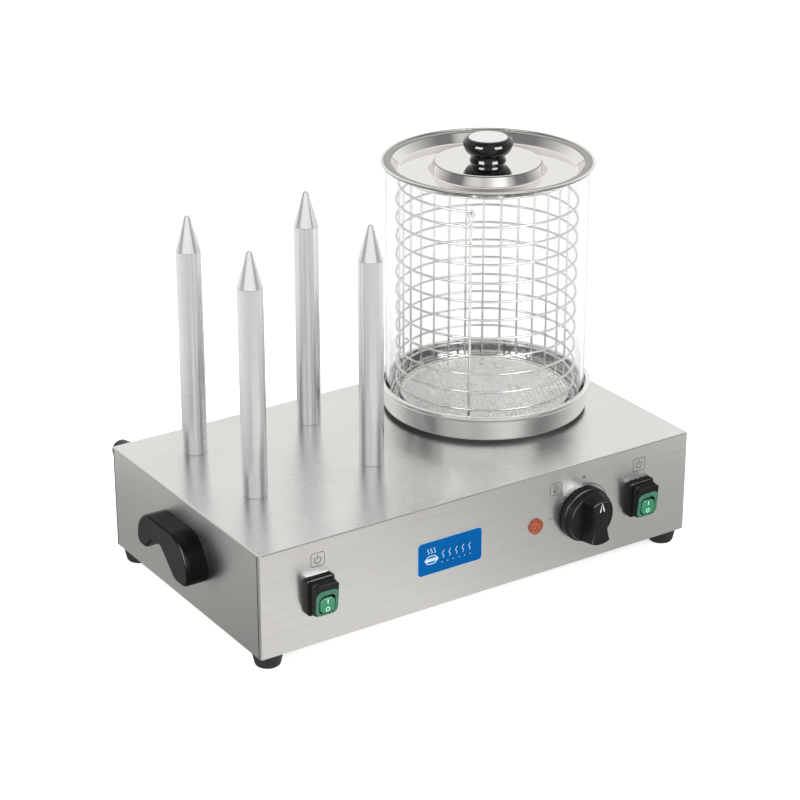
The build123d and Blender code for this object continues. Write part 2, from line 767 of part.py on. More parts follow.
write(lid_screw, "lid_screw")

# ---------------------------------------------------------------- switches


def panel_point(x, out, z):
    """A point at a given distance in front of the front face."""
    return (x, -half_depth - out, z)


for name, (x, z) in switch_places.items():
    seat = Plane(origin=panel_point(x, 0, z), x_dir=(1, 0, 0), z_dir=(0, -1, 0))
    pivot_axis = Axis(panel_point(x, rocker_pivot_out, z), (1, 0, 0))
    with BuildPart() as frame:
        with BuildSketch(seat):
            RectangleRounded(*switch_base, 4.0)
        extrude(amount=switch_base_height)
        fillet(frame.faces().sort_by(Axis.Y)[0].edges(), 2.0)
        with BuildSketch(seat):
            RectangleRounded(*switch_collar, 3.5)
        extrude(amount=switch_collar_height)
        fillet(frame.faces().sort_by(Axis.Y)[0].edges(), 1.0)
        with BuildSketch(seat):
            Rectangle(*switch_opening)
        extrude(amount=switch_collar_height, mode=Mode.SUBTRACT)
        pin_end = panel_point(x - rocker_pin_reach - 0.1, rocker_pivot_out, z)
        with BuildSketch(Plane(origin=pin_end, x_dir=(0, 1, 0), z_dir=(1, 0, 0))):
            Circle(rocker_pin_radius + running_gap)
        extrude(amount=2 * rocker_pin_reach + 0.2, mode=Mode.SUBTRACT)
    write(frame.part, f"{name}_switch_frame")

    with BuildPart() as rocker:
        rocker_side = panel_point(x - rocker_width / 2, rocker_pivot_out, z)
        with BuildSketch(Plane(origin=rocker_side, x_dir=(0, 0, 1), z_dir=(1, 0, 0))):
            # Local x runs up and local y runs out of the panel, so -y is towards the switch body.
            Circle(rocker_radius)
            with Locations((0, -rocker_face_out)):
                Rectangle(40, 40, align=(Align.CENTER, Align.MAX), mode=Mode.SUBTRACT)
            with Locations((0, rocker_back)):
                Rectangle(40, 40, align=(Align.CENTER, Align.MIN), mode=Mode.SUBTRACT)
        extrude(amount=rocker_width)
        pin_end = panel_point(x - rocker_pin_reach, rocker_pivot_out, z)
        with BuildSketch(Plane(origin=pin_end, x_dir=(0, 1, 0), z_dir=(1, 0, 0))):
            Circle(rocker_pin_radius)
        extrude(amount=2 * rocker_pin_reach)
    write(rocker.part.rotate(pivot_axis, -rocker_tilt), f"{name}_rocker")

    with BuildPart() as switch_body:
        with BuildSketch(seat.offset(-sheet)):
            RectangleRounded(*switch_body_size, 1.5)
        extrude(amount=-switch_body_depth)
        with BuildSketch(seat.offset(-sheet - switch_body_depth)):
            for row in (-9, 0, 9):
                with Locations((-5, row), (5, row)):
                    Rectangle(4.8, 0.8)
        extrude(amount=-terminal_length)
    write(switch_body.part, f"{name}_switch_body")

# ---------------------------------------------------------------- thermostat and lamp

knob_seat = Plane(origin=panel_point(thermostat_x, 0, control_z), x_dir=(1, 0, 0), z_dir=(0, -1, 0))
with BuildPart() as thermostat_body:
    with BuildSketch(knob_seat.offset(-sheet)):
        RectangleRounded(*thermostat_box, 3)
    extrude(amount=-thermostat_depth)
    with BuildSketch(knob_seat.offset(-sheet)):
        Circle(thermostat_shaft_radius + running_gap)
    extrude(amount=-shaft_depth, mode=Mode.SUBTRACT)
    with BuildSketch(knob_seat.offset(-sheet)):
        with Locations(*thermostat_screw_spots):
            Circle(2.0 + running_gap)
    extrude(amount=-8, mode=Mode.SUBTRACT)
    with BuildSketch(knob_seat.offset(-sheet - thermostat_depth)):
        with Locations((-15, -10), (-5, -10), (5, -10)):
            Rectangle(0.8, 6)
    extrude(amount=-terminal_length)
write(thermostat_body.part, "thermostat_body")

thermostat_screw_parts = []
for x, _ in thermostat_screw_spots:
    head_seat = Plane(origin=panel_point(thermostat_x + x, 0, control_z), x_dir=(1, 0, 0), z_dir=(0, 1, 0))
    thermostat_screw_parts.append(screw(head_seat, *thermostat_screw_head, 2.0, sheet + 7))
write(Compound(children=thermostat_screw_parts), "thermostat_screws")

with BuildPart() as thermostat_shaft:
    with BuildSketch(knob_seat.offset(-shaft_depth)):
        Circle(thermostat_shaft_radius)
    extrude(amount=shaft_depth + shaft_reach)
    with BuildSketch(knob_seat.offset(6)):
        with Locations((0, thermostat_shaft_radius - 0.8)):
            Rectangle(8, 4, align=(Align.CENTER, Align.MIN))
    extrude(amount=shaft_reach - 6, mode=Mode.SUBTRACT)
write(thermostat_shaft.part, "thermostat_shaft")

with BuildPart() as thermostat_knob:
    with BuildSketch(knob_seat.offset(knob_gap)):
        Circle(knob_skirt_radius)
    extrude(amount=knob_skirt_top - knob_gap)
    fillet(thermostat_knob.edges().sort_by(Axis.Y)[0], 1.8)
    with BuildSketch(knob_seat.offset(knob_skirt_top)):
        Circle(knob_drum_radius)
    extrude(amount=knob_drum_top - knob_skirt_top, taper=knob_taper)
    fillet(thermostat_knob.edges().sort_by(Axis.Y)[0], 1.2)
    # The grip bar: the drum's circle with a shallow scoop on each side.
    with BuildSketch(knob_seat.offset(knob_drum_top - 1)):
        Circle(knob_drum_radius - 1.2)
        with Locations((-knob_scoop_centre, 0), (knob_scoop_centre, 0)):
            Circle(knob_scoop_centre - knob_waist, mode=Mode.SUBTRACT)
    extrude(amount=front_projection - knob_drum_top + 1, taper=knob_taper)
    fillet(thermostat_knob.faces().sort_by(Axis.Y)[0].edges(), 1.3)
    with BuildSketch(knob_seat):
        Circle(thermostat_shaft_radius + running_gap)
    extrude(amount=shaft_reach + 1, mode=Mode.SUBTRACT)
    with BuildSketch(knob_seat.offset(knob_gap)):
        Circle(22)
        Circle(6.5, mode=Mode.SUBTRACT)
    extrude(amount=9, mode=Mode.SUBTRACT)
write(thermostat_knob.part, "thermostat_knob")

lamp_seat = Plane(origin=panel_point(lamp_x, 0, control_z), x_dir=(1, 0, 0), z_dir=(0, -1, 0))
with BuildPart() as lamp_lens:
    with BuildSketch(lamp_seat):
        Circle(lamp_flange_radius)
    extrude(amount=lamp_flange_top)
    with BuildSketch(lamp_seat.offset(lamp_flange_top)):
        Circle(lamp_dome_radius)
    extrude(amount=lamp_dome_height)
    fillet(lamp_lens.edges().sort_by(Axis.Y)[0], 1.8)
    with BuildSketch(lamp_seat):
        Circle(lamp_stem_radius)
    extrude(amount=-8)
write(lamp_lens.part, "lamp_lens")
with BuildPart() as lamp_body:
    with BuildSketch(lamp_seat.offset(-sheet)):
        Circle(7.5)
    extrude(amount=-lamp_body_depth)
    with BuildSketch(lamp_seat.offset(-sheet)):
        Circle(lamp_stem_radius + running_gap)
    extrude(amount=-7.2, mode=Mode.SUBTRACT)
    with BuildSketch(lamp_seat.offset(-sheet - lamp_body_depth)):
        with Locations((-3, 0), (3, 0)):
            Rectangle(0.8, 5)
    extrude(amount=-7)
write(lamp_body.part, "lamp_body")

# ---------------------------------------------------------------- electrics

with BuildPart() as cable_gland:
    with BuildSketch(gland_seat):
        Circle(gland_radius)
    extrude(amount=gland_hex_length)
    with BuildSketch(gland_seat.offset(gland_hex_length)):
        Circle(gland_radius - 0.6)
    with BuildSketch(gland_seat.offset(front_projection)):
        Circle(gland_radius - 4.0)
    loft()
    fillet(cable_gland.faces().sort_by(Axis.Y)[-1].edges(), 3.0)
    with BuildSketch(gland_seat):
        Circle(gland_thread_radius)
    extrude(amount=-gland_thread_length)
    with BuildSketch(gland_seat.offset(-gland_thread_length)):
        Circle(gland_bore)
    extrude(amount=gland_thread_length + front_projection, mode=Mode.SUBTRACT)
write(cable_gland.part, "cable_gland")
with BuildPart() as gland_locknut:
    with BuildSketch(gland_seat.offset(-sheet)):
        RegularPolygon(13, 6, major_radius=False)
        Circle(gland_thread_radius + running_gap, mode=Mode.SUBTRACT)
    extrude(amount=-5)
write(gland_locknut.part, "gland_locknut")

block_place = (-200.0, 90.0)
with BuildPart() as terminal_block:
    with BuildSketch(Plane(origin=(*block_place, base_top))):
        Rectangle(50, 22)
    extrude(amount=10)
    with BuildSketch(Plane(origin=(*block_place, base_top + 10))):
        with GridLocations(16, 0, 3, 1):
            Rectangle(13, 18)
    extrude(amount=9)
    with BuildSketch(Plane(origin=(*block_place, base_top + 19))):
        with GridLocations(16, 9, 3, 2):
            Circle(2.6)
    extrude(amount=-7, mode=Mode.SUBTRACT)
write(terminal_block.part, "terminal_block")

with BuildPart() as earth_stud:
    with BuildSketch(Plane(origin=(-150, 90, base_top))):
        RegularPolygon(4.5, 6, major_radius=False)
    extrude(amount=4)
    with BuildSketch(Plane(origin=(-150, 90, base_top + 4))):
        Circle(2.5)
    extrude(amount=9)
write(earth_stud.part, "earth_stud")

bulb_y = cylinder_y - pan_radius - bulb_radius - 0.5
with BuildPart() as capillary:
    with BuildLine(Plane.XY.offset(capillary_z)) as tube_path:
        FilletPolyline(
            (thermostat_x, -half_depth + sheet + thermostat_depth), (thermostat_x, -92), (163, -92),
            (163, bulb_y), (148, bulb_y), radius=capillary_bend)
    with BuildSketch(Plane(origin=tube_path.line @ 0, z_dir=tube_path.line % 0)):
        Circle(capillary_radius)
    sweep()
    with BuildSketch(Plane(origin=(148, bulb_y, capillary_z), x_dir=(0, 1, 0), z_dir=(-1, 0, 0))):
        Circle(bulb_radius)
    extrude(amount=bulb_length)
write(capillary.part, "capillary")

wire_routes = [
    [(-216, 78, 24), (-216, -92, 24), (-189, -92, 40), (-189, -102, 58)],
    [(-200, 78, 24), (-200, 60, 24), (20, -60, 24), (20, -112, 24), (176, -112, 24), (179, -98, 50)],
    [(-184, 78, 24), (-184, 66, 24), (30, -50, 24), (36, -98, 40), (56.9, -98, 60)],
]
wire_parts = []
for route in wire_routes:
    with BuildPart() as lead:
        with BuildLine() as lead_path:
            FilletPolyline(*route, radius=lead_bend)
        with BuildSketch(Plane(origin=lead_path.line @ 0, z_dir=lead_path.line % 0)):
            Circle(lead_radius)
        sweep()
    wire_parts.append(lead.part)
write(Compound(children=wire_parts), "wiring_loom")
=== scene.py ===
"""The look of the hot dog steamer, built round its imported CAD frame.

The scene is in metres in the part's frame: +X to the right seen from the front, +Y to the back, +Z up,
the origin on the ground under the middle of the housing. Lathe profiles are in millimetres, with heights
above the deck, which is the top of the housing. Drawings on the front are in millimetres, too.
"""

import json
import math
import random

import bmesh
import bpy
from mathutils import Matrix, Vector

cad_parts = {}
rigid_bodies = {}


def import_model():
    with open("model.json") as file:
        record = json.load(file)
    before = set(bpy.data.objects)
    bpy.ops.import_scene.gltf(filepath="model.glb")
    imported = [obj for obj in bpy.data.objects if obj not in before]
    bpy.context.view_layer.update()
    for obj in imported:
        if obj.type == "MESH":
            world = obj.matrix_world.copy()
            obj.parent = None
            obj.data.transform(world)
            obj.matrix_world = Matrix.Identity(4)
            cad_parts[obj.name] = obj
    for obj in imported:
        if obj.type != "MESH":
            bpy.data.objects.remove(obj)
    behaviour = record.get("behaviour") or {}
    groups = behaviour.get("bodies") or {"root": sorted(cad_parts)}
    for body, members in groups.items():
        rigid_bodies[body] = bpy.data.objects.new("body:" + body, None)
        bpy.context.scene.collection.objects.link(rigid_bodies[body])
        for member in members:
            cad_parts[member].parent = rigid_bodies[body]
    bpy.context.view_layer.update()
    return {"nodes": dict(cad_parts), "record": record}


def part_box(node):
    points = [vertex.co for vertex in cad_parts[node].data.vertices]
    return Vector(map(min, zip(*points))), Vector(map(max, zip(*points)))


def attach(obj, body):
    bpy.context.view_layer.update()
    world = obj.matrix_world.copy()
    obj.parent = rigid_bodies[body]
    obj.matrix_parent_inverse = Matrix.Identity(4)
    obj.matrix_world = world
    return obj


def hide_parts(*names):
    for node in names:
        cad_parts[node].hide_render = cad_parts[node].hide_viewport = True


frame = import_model()

MM = 0.001

# ---------------------------------------------------------------- camera

CAMERA_PLACE = Vector((-1.1909, -1.8042, 1.0996))
CAMERA_LOOK = Vector((0.50466, 0.76610, -0.39800))
CAMERA_LENS = 109.09
CAMERA_SENSOR = 36.0
CAMERA_RANGE = (0.05, 60.0)

scene = bpy.context.scene
camera_data = bpy.data.cameras.new("camera")
camera_data.lens = CAMERA_LENS
camera_data.sensor_width = CAMERA_SENSOR
camera_data.clip_start, camera_data.clip_end = CAMERA_RANGE
camera = bpy.data.objects.new("camera", camera_data)
camera.location = CAMERA_PLACE
camera.rotation_mode = "QUATERNION"
camera.rotation_quaternion = CAMERA_LOOK.to_track_quat("-Z", "Y")
scene.collection.objects.link(camera)
scene.camera = camera
scene.view_settings.view_transform = "Standard"

# ---------------------------------------------------------------- places, from the frame

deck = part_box("housing_cover")[1].z
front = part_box("housing_cover")[0].y
glass_low, glass_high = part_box("glass_cylinder")
axis_place = Vector(((glass_low.x + glass_high.x) / 2, (glass_low.y + glass_high.y) / 2, deck))
SPIKE_CORNERS = ("front_left", "front_right", "rear_left", "rear_right")


# ---------------------------------------------------------------- node helpers

def start_material(name, colour, metallic=0.0, roughness=0.5, **settings):
    """A material with one Principled shader. Extra settings go to its sockets by name."""
    made = bpy.data.materials.new(name)
    made.use_nodes = True
    shader = made.node_tree.nodes["Principled BSDF"]
    shader.inputs["Base Color"].default_value = (*colour, 1.0)
    shader.inputs["Metallic"].default_value = metallic
    shader.inputs["Roughness"].default_value = roughness
    for socket, value in settings.items():
        shader.inputs[socket.replace("_", " ")].default_value = value
    return made, made.node_tree, shader


def connect(tree, shader, **sockets):
    """Links sockets to the shader's inputs of the same names."""
    for name, socket in sockets.items():
        tree.links.new(socket, shader.inputs[name.replace("_", " ")])


def math_node(tree, operation, *values):
    """The result of a Math node over value sockets."""
    node = tree.nodes.new("ShaderNodeMath")
    node.operation = operation
    for value, socket in zip(values, node.inputs):
        tree.links.new(value, socket)
    return node.outputs[0]


def vector_math(tree, operation, vector, fixed=None):
    """The result of a Vector Math node over a vector socket and a fixed vector."""
    node = tree.nodes.new("ShaderNodeVectorMath")
    node.operation = operation
    tree.links.new(vector, node.inputs[0])
    if fixed is not None:
        node.inputs[1].default_value = fixed
    return node.outputs["Value" if operation in ("LENGTH", "DOT_PRODUCT") else "Vector"]


def noise(tree, scale, detail=2.0, rough=0.5):
    """Noise over the object's own coordinates. The scale is one number, or one for each axis."""
    place = tree.nodes.new("ShaderNodeTexCoord")
    mapping = tree.nodes.new("ShaderNodeMapping")
    mapping.inputs["Scale"].default_value = [scale] * 3 if isinstance(scale, float) else scale
    node = tree.nodes.new("ShaderNodeTexNoise")
    node.inputs["Scale"].default_value = 1.0
    node.inputs["Detail"].default_value = detail
    node.inputs["Roughness"].default_value = rough
    tree.links.new(place.outputs["Object"], mapping.inputs["Vector"])
    tree.links.new(mapping.outputs["Vector"], node.inputs["Vector"])
    return node.outputs["Fac"]


def ring_noise(tree, centre, scale, detail=2.0):
    """Noise that depends only on the distance from a vertical axis, like marks from a lathe."""
    place = tree.nodes.new("ShaderNodeTexCoord").outputs["Object"]
    flat = vector_math(tree, "MULTIPLY", vector_math(tree, "SUBTRACT", place, centre), (scale, scale, 0.0))
    node = tree.nodes.new("ShaderNodeTexNoise")
    node.noise_dimensions = "1D"
    node.inputs["Scale"].default_value = 1.0
    node.inputs["Detail"].default_value = detail
    tree.links.new(vector_math(tree, "LENGTH", flat), node.inputs["W"])
    return node.outputs["Fac"]


def spread(tree, value, low, high, start=0.3, end=0.7):
    """A value between start and end, carried over to the range from low to high."""
    node = tree.nodes.new("ShaderNodeMapRange")
    node.inputs["From Min"].default_value = start
    node.inputs["From Max"].default_value = end
    node.inputs["To Min"].default_value = low
    node.inputs["To Max"].default_value = high
    tree.links.new(value, node.inputs["Value"])
    return node.outputs["Result"]


def blend_values(tree, share, first, second):
    """A value between two others, each of them a socket or a number."""
    node = tree.nodes.new("ShaderNodeMix")
    tree.links.new(share, node.inputs[0])
    for socket, value in ((node.inputs[2], first), (node.inputs[3], second)):
        if isinstance(value, float):
            socket.default_value = value
        else:
            tree.links.new(value, socket)
    return node.outputs[0]


def blend_colours(tree, share, first, second):
    """A colour between two others, each of them a socket or a colour."""
    node = tree.nodes.new("ShaderNodeMix")
    node.data_type = "RGBA"
    tree.links.new(share, node.inputs[0])
    for socket, colour in ((node.inputs[6], first), (node.inputs[7], second)):
        if isinstance(colour, tuple):
            socket.default_value = (*colour, 1.0)
        else:
            tree.links.new(colour, socket)
    return node.outputs[2]


def bump(tree, height, distance, strength=1.0, after=None):
    """A bumped normal, on top of another one if there is one."""
    node = tree.nodes.new("ShaderNodeBump")
    node.inputs["Distance"].default_value = distance
    node.inputs["Strength"].default_value = strength
    tree.links.new(height, node.inputs["Height"])
    if after is not None:
        tree.links.new(after, node.inputs["Normal"])
    return node.outputs["Normal"]


def tone(colour, factor):
    """A colour made lighter or darker."""
    return tuple(min(1.0, c * factor) for c in colour)


def shaded(tree, value, colour, darker, lighter):
    """A colour that follows a value, from darker to lighter by these shares."""
    return blend_colours(tree, spread(tree, value, 0.0, 1.0), tone(colour, 1 - darker),
                         tone(colour, 1 + lighter))


# ---------------------------------------------------------------- materials

def brushed_metal(name, colour, roughness, grain, anisotropy=0.5, contrast=0.05):
    """Sheet metal with a brushed grain along one axis, faint smears and fine scratches."""
    made, tree, shader = start_material(name, colour, 1.0, roughness, Anisotropic=anisotropy)
    fine = noise(tree, [12.0 if along else 1500.0 for along in grain], detail=3.0, rough=0.6)
    coarse = noise(tree, [5.0 if along else 260.0 for along in grain], rough=0.6)
    smear = noise(tree, 9.0, detail=4.0, rough=0.6)
    shade = shaded(tree, fine, colour, contrast, contrast)
    shade = blend_colours(tree, spread(tree, coarse, 0.0, 0.35), shade, tone(colour, 1 - 1.4 * contrast))
    normal = bump(tree, fine, 1e-5, 0.35)
    normal = bump(tree, coarse, 2e-5, 0.25, normal)
    geometry = tree.nodes.new("ShaderNodeNewGeometry")
    connect(tree, shader, Base_Color=shade, Normal=normal,
            Roughness=spread(tree, smear, roughness * 0.86, roughness * 1.12),
            Tangent=vector_math(tree, "CROSS_PRODUCT", geometry.outputs["Normal"], grain))
    return made


def turned_metal(name, colour, roughness, centre=None, anisotropy=0.5, groove=1e-5, contrast=0.04,
                 metallic=1.0):
    """Metal from a lathe: grooves round the axis, either along its height or as rings round a centre."""
    made, tree, shader = start_material(name, colour, metallic, roughness, Anisotropic=anisotropy,
                                        Anisotropic_Rotation=0.25)
    if centre is None:
        marks = noise(tree, (2.0, 2.0, 420.0))
    else:
        marks = ring_noise(tree, centre, 900.0, detail=3.0)
    smear = noise(tree, 22.0, detail=4.0, rough=0.6)
    tangent = tree.nodes.new("ShaderNodeTangent")
    tangent.direction_type = "RADIAL"
    tangent.axis = "Z"
    connect(tree, shader, Base_Color=shaded(tree, marks, colour, contrast, contrast),
            Roughness=spread(tree, smear, roughness * 0.8, roughness * 1.2),
            Normal=bump(tree, marks, groove, 0.5), Tangent=tangent.outputs["Tangent"])
    return made


def plain_metal(name, colour, roughness, speckle=600.0, contrast=0.08, depth=1e-5, metallic=1.0):
    """Drawn, plated or cast metal: small specks, duller patches and a slightly uneven skin."""
    made, tree, shader = start_material(name, colour, metallic, roughness)
    specks = noise(tree, speckle, detail=3.0, rough=0.65)
    patches = noise(tree, 35.0, detail=3.0)
    connect(tree, shader, Base_Color=shaded(tree, specks, colour, contrast, contrast),
            Roughness=spread(tree, patches, roughness * 0.7, roughness * 1.35),
            Normal=bump(tree, specks, depth, 0.5))
    return made


def plastic(name, colour, roughness, grain=2200.0, depth=1e-5, wear=0.25, **settings):
    """Moulded plastic, rubber or ink: a fine grain, handling marks and uneven gloss."""
    made, tree, shader = start_material(name, colour, 0.0, roughness, **settings)
    skin = noise(tree, grain, rough=0.6)
    patches = noise(tree, 40.0, detail=4.0, rough=0.6)
    connect(tree, shader, Base_Color=shaded(tree, patches, colour, 0.5 * wear, wear),
            Roughness=spread(tree, patches, roughness * 0.85, min(1.0, roughness * 1.2)),
            Normal=bump(tree, skin, depth, 0.6))
    return made


def handle_plastic(name):
    """Glossy black round the arch; a finely eroded matt outer face, its grey-black partly painted light."""
    # The matt face's tone is set lighter than the gloss black. This is partly its matt skin and partly
    # painted light on that face.
    gloss, matt = (0.003, 0.003, 0.0033), (0.019, 0.018, 0.0183)
    gloss_roughness, matt_roughness = 0.2, 0.5
    made, tree, shader = start_material(name, gloss, 0.0, gloss_roughness, Specular_IOR_Level=0.12)
    geometry = tree.nodes.new("ShaderNodeNewGeometry")
    split = tree.nodes.new("ShaderNodeSeparateXYZ")
    tree.links.new(geometry.outputs["Normal"], split.inputs[0])
    sideways = math_node(tree, "ABSOLUTE", split.outputs["X"])
    outer = spread(tree, sideways, 0.0, 1.0, start=0.90, end=0.985)
    grain = noise(tree, 1800.0, rough=0.6)
    # Random patches over the face's tone, which is partly painted light.
    worn_and_painted_light = shaded(tree, noise(tree, 45.0, detail=4.0, rough=0.6), matt, 0.15, 0.15)
    connect(tree, shader, Base_Color=blend_colours(tree, outer, gloss, worn_and_painted_light),
            Roughness=spread(tree, outer, gloss_roughness, matt_roughness, start=0.0, end=1.0),
            Normal=bump(tree, math_node(tree, "MULTIPLY", grain, outer), 3e-5, 0.7))
    return made


def clear_glass(name):
    """Borosilicate tube: clear, with faint water marks and a slight drawn waviness."""
    made, tree, shader = start_material(name, (0.865, 0.873, 0.870), 0.0, 0.0, Transmission_Weight=1.0,
                                        IOR=1.33)
    marks = noise(tree, (60.0, 60.0, 90.0), detail=5.0, rough=0.7)
    waves = noise(tree, (9.0, 9.0, 2.5), detail=1.0, rough=0.4)
    connect(tree, shader, Roughness=spread(tree, marks, 0.0, 0.02, start=0.58, end=0.80),
            Normal=bump(tree, waves, 1e-4, 0.1))
    return made


def translucent(name, colour, roughness, weight, ior=1.46, scale=160.0, contrast=0.15):
    """Tinted see-through plastic with a faint flow pattern."""
    made, tree, shader = start_material(name, colour, 0.0, roughness, Transmission_Weight=weight, IOR=ior)
    flow = noise(tree, scale, detail=3.0, rough=0.6)
    connect(tree, shader, Base_Color=shaded(tree, flow, colour, contrast, contrast),
            Roughness=spread(tree, flow, roughness * 0.8, roughness * 1.2),
            Normal=bump(tree, flow, 5e-5, 0.3))
    return made


STEEL = (0.78, 0.772, 0.760)
DARK_STEEL = (0.60, 0.595, 0.585)
BRIGHT = (0.86, 0.855, 0.845)
BLACK = (0.004, 0.004, 0.0045)
PALE_BLUE = (0.36, 0.50, 0.62)
INK = (0.09, 0.086, 0.083)

# How each material slot is made. Lengths such as groove and depth are in metres.
FINISHES = {
    "housing_steel": (brushed_metal, dict(colour=STEEL, roughness=0.27, grain=(1, 0, 0), anisotropy=0.75)),
    "base_steel": (plain_metal, dict(colour=DARK_STEEL, roughness=0.38, speckle=300.0)),
    "fastener_steel": (plain_metal, dict(colour=(0.62, 0.62, 0.63), roughness=0.3, speckle=900.0)),
    "brass_hardware": (plain_metal, dict(colour=(0.72, 0.50, 0.22), roughness=0.28, speckle=700.0)),
    "pan_steel": (turned_metal, dict(colour=(0.66, 0.655, 0.645), roughness=0.28, centre=axis_place,
                                     anisotropy=0.35, metallic=0.85)),
    "polished_aluminium": (turned_metal, dict(colour=BRIGHT, roughness=0.09, centre=axis_place,
                                              anisotropy=0.2, groove=2e-6, contrast=0.02)),
    "black_rubber": (plastic, dict(colour=(0.007, 0.007, 0.007), roughness=0.6, grain=1400.0, depth=4e-5,
                                   Specular_IOR_Level=0.3)),
    "clear_glass": (clear_glass, {}),
    "basket_wire": (plain_metal, dict(colour=(0.74, 0.735, 0.725), roughness=0.22, speckle=900.0,
                                      contrast=0.05, depth=3e-6)),
    "basket_mesh": (plain_metal, dict(colour=(0.90, 0.895, 0.885), roughness=0.3, speckle=900.0,
                                      contrast=0.06, depth=3e-6, metallic=0.5)),
    "polished_lid": (turned_metal, dict(colour=(0.80, 0.785, 0.77), roughness=0.05, centre=axis_place,
                                        anisotropy=0.15, groove=1e-6, contrast=0.015)),
    "gloss_black": (plastic, dict(colour=(0.003, 0.003, 0.003), roughness=0.06, grain=900.0, depth=1e-6,
                                  wear=0.2, Specular_IOR_Level=0.35, Coat_Weight=0.2, Coat_Roughness=0.03)),
    "handle_black": (handle_plastic, {}),
    "label_blue": (plastic, dict(colour=(0.0005, 0.075, 0.250), roughness=0.3, grain=1500.0, depth=4e-6,
                                 wear=0.06, Specular_IOR_Level=0.02)),
    "heater_steel": (plain_metal, dict(colour=(0.42, 0.37, 0.33), roughness=0.35, speckle=400.0,
                                       contrast=0.15)),
    "copper_tube": (plain_metal, dict(colour=(0.80, 0.42, 0.27), roughness=0.25, speckle=500.0,
                                      contrast=0.1)),
    "white_plastic": (plastic, dict(colour=(0.78, 0.77, 0.73), roughness=0.42, grain=1800.0, wear=0.05)),
    "switch_black": (plastic, dict(colour=BLACK, roughness=0.30, grain=2600.0, Specular_IOR_Level=0.2)),
    "rocker_green": (plastic, dict(colour=(0.026, 0.170, 0.085), roughness=0.22, grain=900.0, depth=4e-6,
                                   wear=0.12, Specular_IOR_Level=0.35, Coat_Weight=0.15,
                                   Coat_Roughness=0.1)),
    "inner_black": (plastic, dict(colour=(0.02, 0.02, 0.021), roughness=0.5, grain=1600.0)),
    "knob_black": (plastic, dict(colour=BLACK, roughness=0.32, grain=2000.0, Specular_IOR_Level=0.22)),
    "lamp_orange": (translucent, dict(colour=(0.36, 0.080, 0.030), roughness=0.06, weight=0.3, ior=1.5,
                                      scale=420.0, contrast=0.6)),
    "wire_insulation": (plastic, dict(colour=(0.05, 0.05, 0.055), roughness=0.4, grain=1200.0)),
    "spike_aluminium": (turned_metal, dict(colour=(0.80, 0.80, 0.81), roughness=0.19, anisotropy=0.65,
                                           groove=2e-7, contrast=0.02, metallic=0.88)),
}
materials = {name: make(name, **settings) for name, (make, settings) in FINISHES.items()}

# Finishes that only some of a slot's pieces have.
side_steel = brushed_metal("side_steel", STEEL, 0.33, grain=(0, 1, 0), anisotropy=0.6)
cone_metal = turned_metal("cone_aluminium", (0.84, 0.84, 0.85), 0.20, groove=2e-7, contrast=0.015,
                          metallic=0.85)
label_border = plastic("label_border", PALE_BLUE, 0.32, grain=1500.0, depth=4e-6, wear=0.05)
print_grey = plastic("print_grey", INK, 0.5, grain=2500.0, depth=2e-6, wear=0.15)
print_white = plastic("print_white", (0.80, 0.80, 0.79), 0.45, grain=2500.0, depth=2e-6, wear=0.05)
print_mint = plastic("print_mint", (0.42, 0.78, 0.60), 0.4, grain=2500.0, depth=2e-6, wear=0.05)
boot_silicone = translucent("boot_silicone", (0.055, 0.20, 0.125), 0.25, weight=0.35, ior=1.42)
# A darker metal for the lid's rim band and the lower half of its bead: painted shade, not a different metal.
bead_painted_shade = turned_metal("bead_painted_shade", (0.30, 0.29, 0.28), 0.12, axis_place, anisotropy=0.2)
cap_metal = turned_metal("cap_metal", BRIGHT, 0.16, axis_place, anisotropy=0.3)

for part in frame["record"]["subparts"]:
    node = frame["nodes"][part["node"]]
    chosen = side_steel if part["node"].endswith("_side_panel") else materials[part["material_slot"]]
    for place in node.material_slots:
        place.material = chosen
    if not node.material_slots:
        node.data.materials.append(chosen)


# ---------------------------------------------------------------- mesh helpers

FACE_AREA_WEIGHT = 90
TINY = 1e-6
SAME_PLACE = 1e-7


def finish_piece(name, shape, finishes, body, replaced=(), sharp=32.0):
    """Turns a bmesh into a piece that rides on a body. It is shaded smooth up to an angle, and its large
    faces keep their own normals, so that small roundings don't tint them."""
    mesh = bpy.data.meshes.new(name)
    bmesh.ops.recalc_face_normals(shape, faces=shape.faces)
    shape.to_mesh(mesh)
    shape.free()
    mesh.shade_smooth()
    mesh.set_sharp_from_angle(angle=math.radians(sharp))
    for finish in finishes:
        mesh.materials.append(finish)
    piece = bpy.data.objects.new(name, mesh)
    scene.collection.objects.link(piece)
    weighted = piece.modifiers.new("weighted_normals", "WEIGHTED_NORMAL")
    weighted.keep_sharp = True
    weighted.weight = FACE_AREA_WEIGHT
    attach(piece, body)
    if replaced:
        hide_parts(*replaced)
    return piece


def arc(centre, radius, start, end, steps):
    """Points along an arc, with angles in degrees."""
    for k in range(steps + 1):
        angle = math.radians(start + (end - start) * k / steps)
        yield (centre[0] + radius * math.cos(angle), centre[1] + radius * math.sin(angle))


def arc_through(first, middle, last, steps):
    """Points along the arc through three points."""
    (ax, ay), (bx, by), (cx, cy) = first, middle, last
    d = 2 * (ax * (by - cy) + bx * (cy - ay) + cx * (ay - by))
    a2, b2, c2 = ax * ax + ay * ay, bx * bx + by * by, cx * cx + cy * cy
    ux = (a2 * (by - cy) + b2 * (cy - ay) + c2 * (ay - by)) / d
    uy = (a2 * (cx - bx) + b2 * (ax - cx) + c2 * (bx - ax)) / d
    angles = [math.degrees(math.atan2(y - uy, x - ux)) for x, y in (first, middle, last)]
    for k in (1, 2):
        while angles[k] - angles[k - 1] > 180:
            angles[k] -= 360
        while angles[k] - angles[k - 1] < -180:
            angles[k] += 360
    return list(arc((ux, uy), math.hypot(ax - ux, ay - uy), angles[0], angles[2], steps))


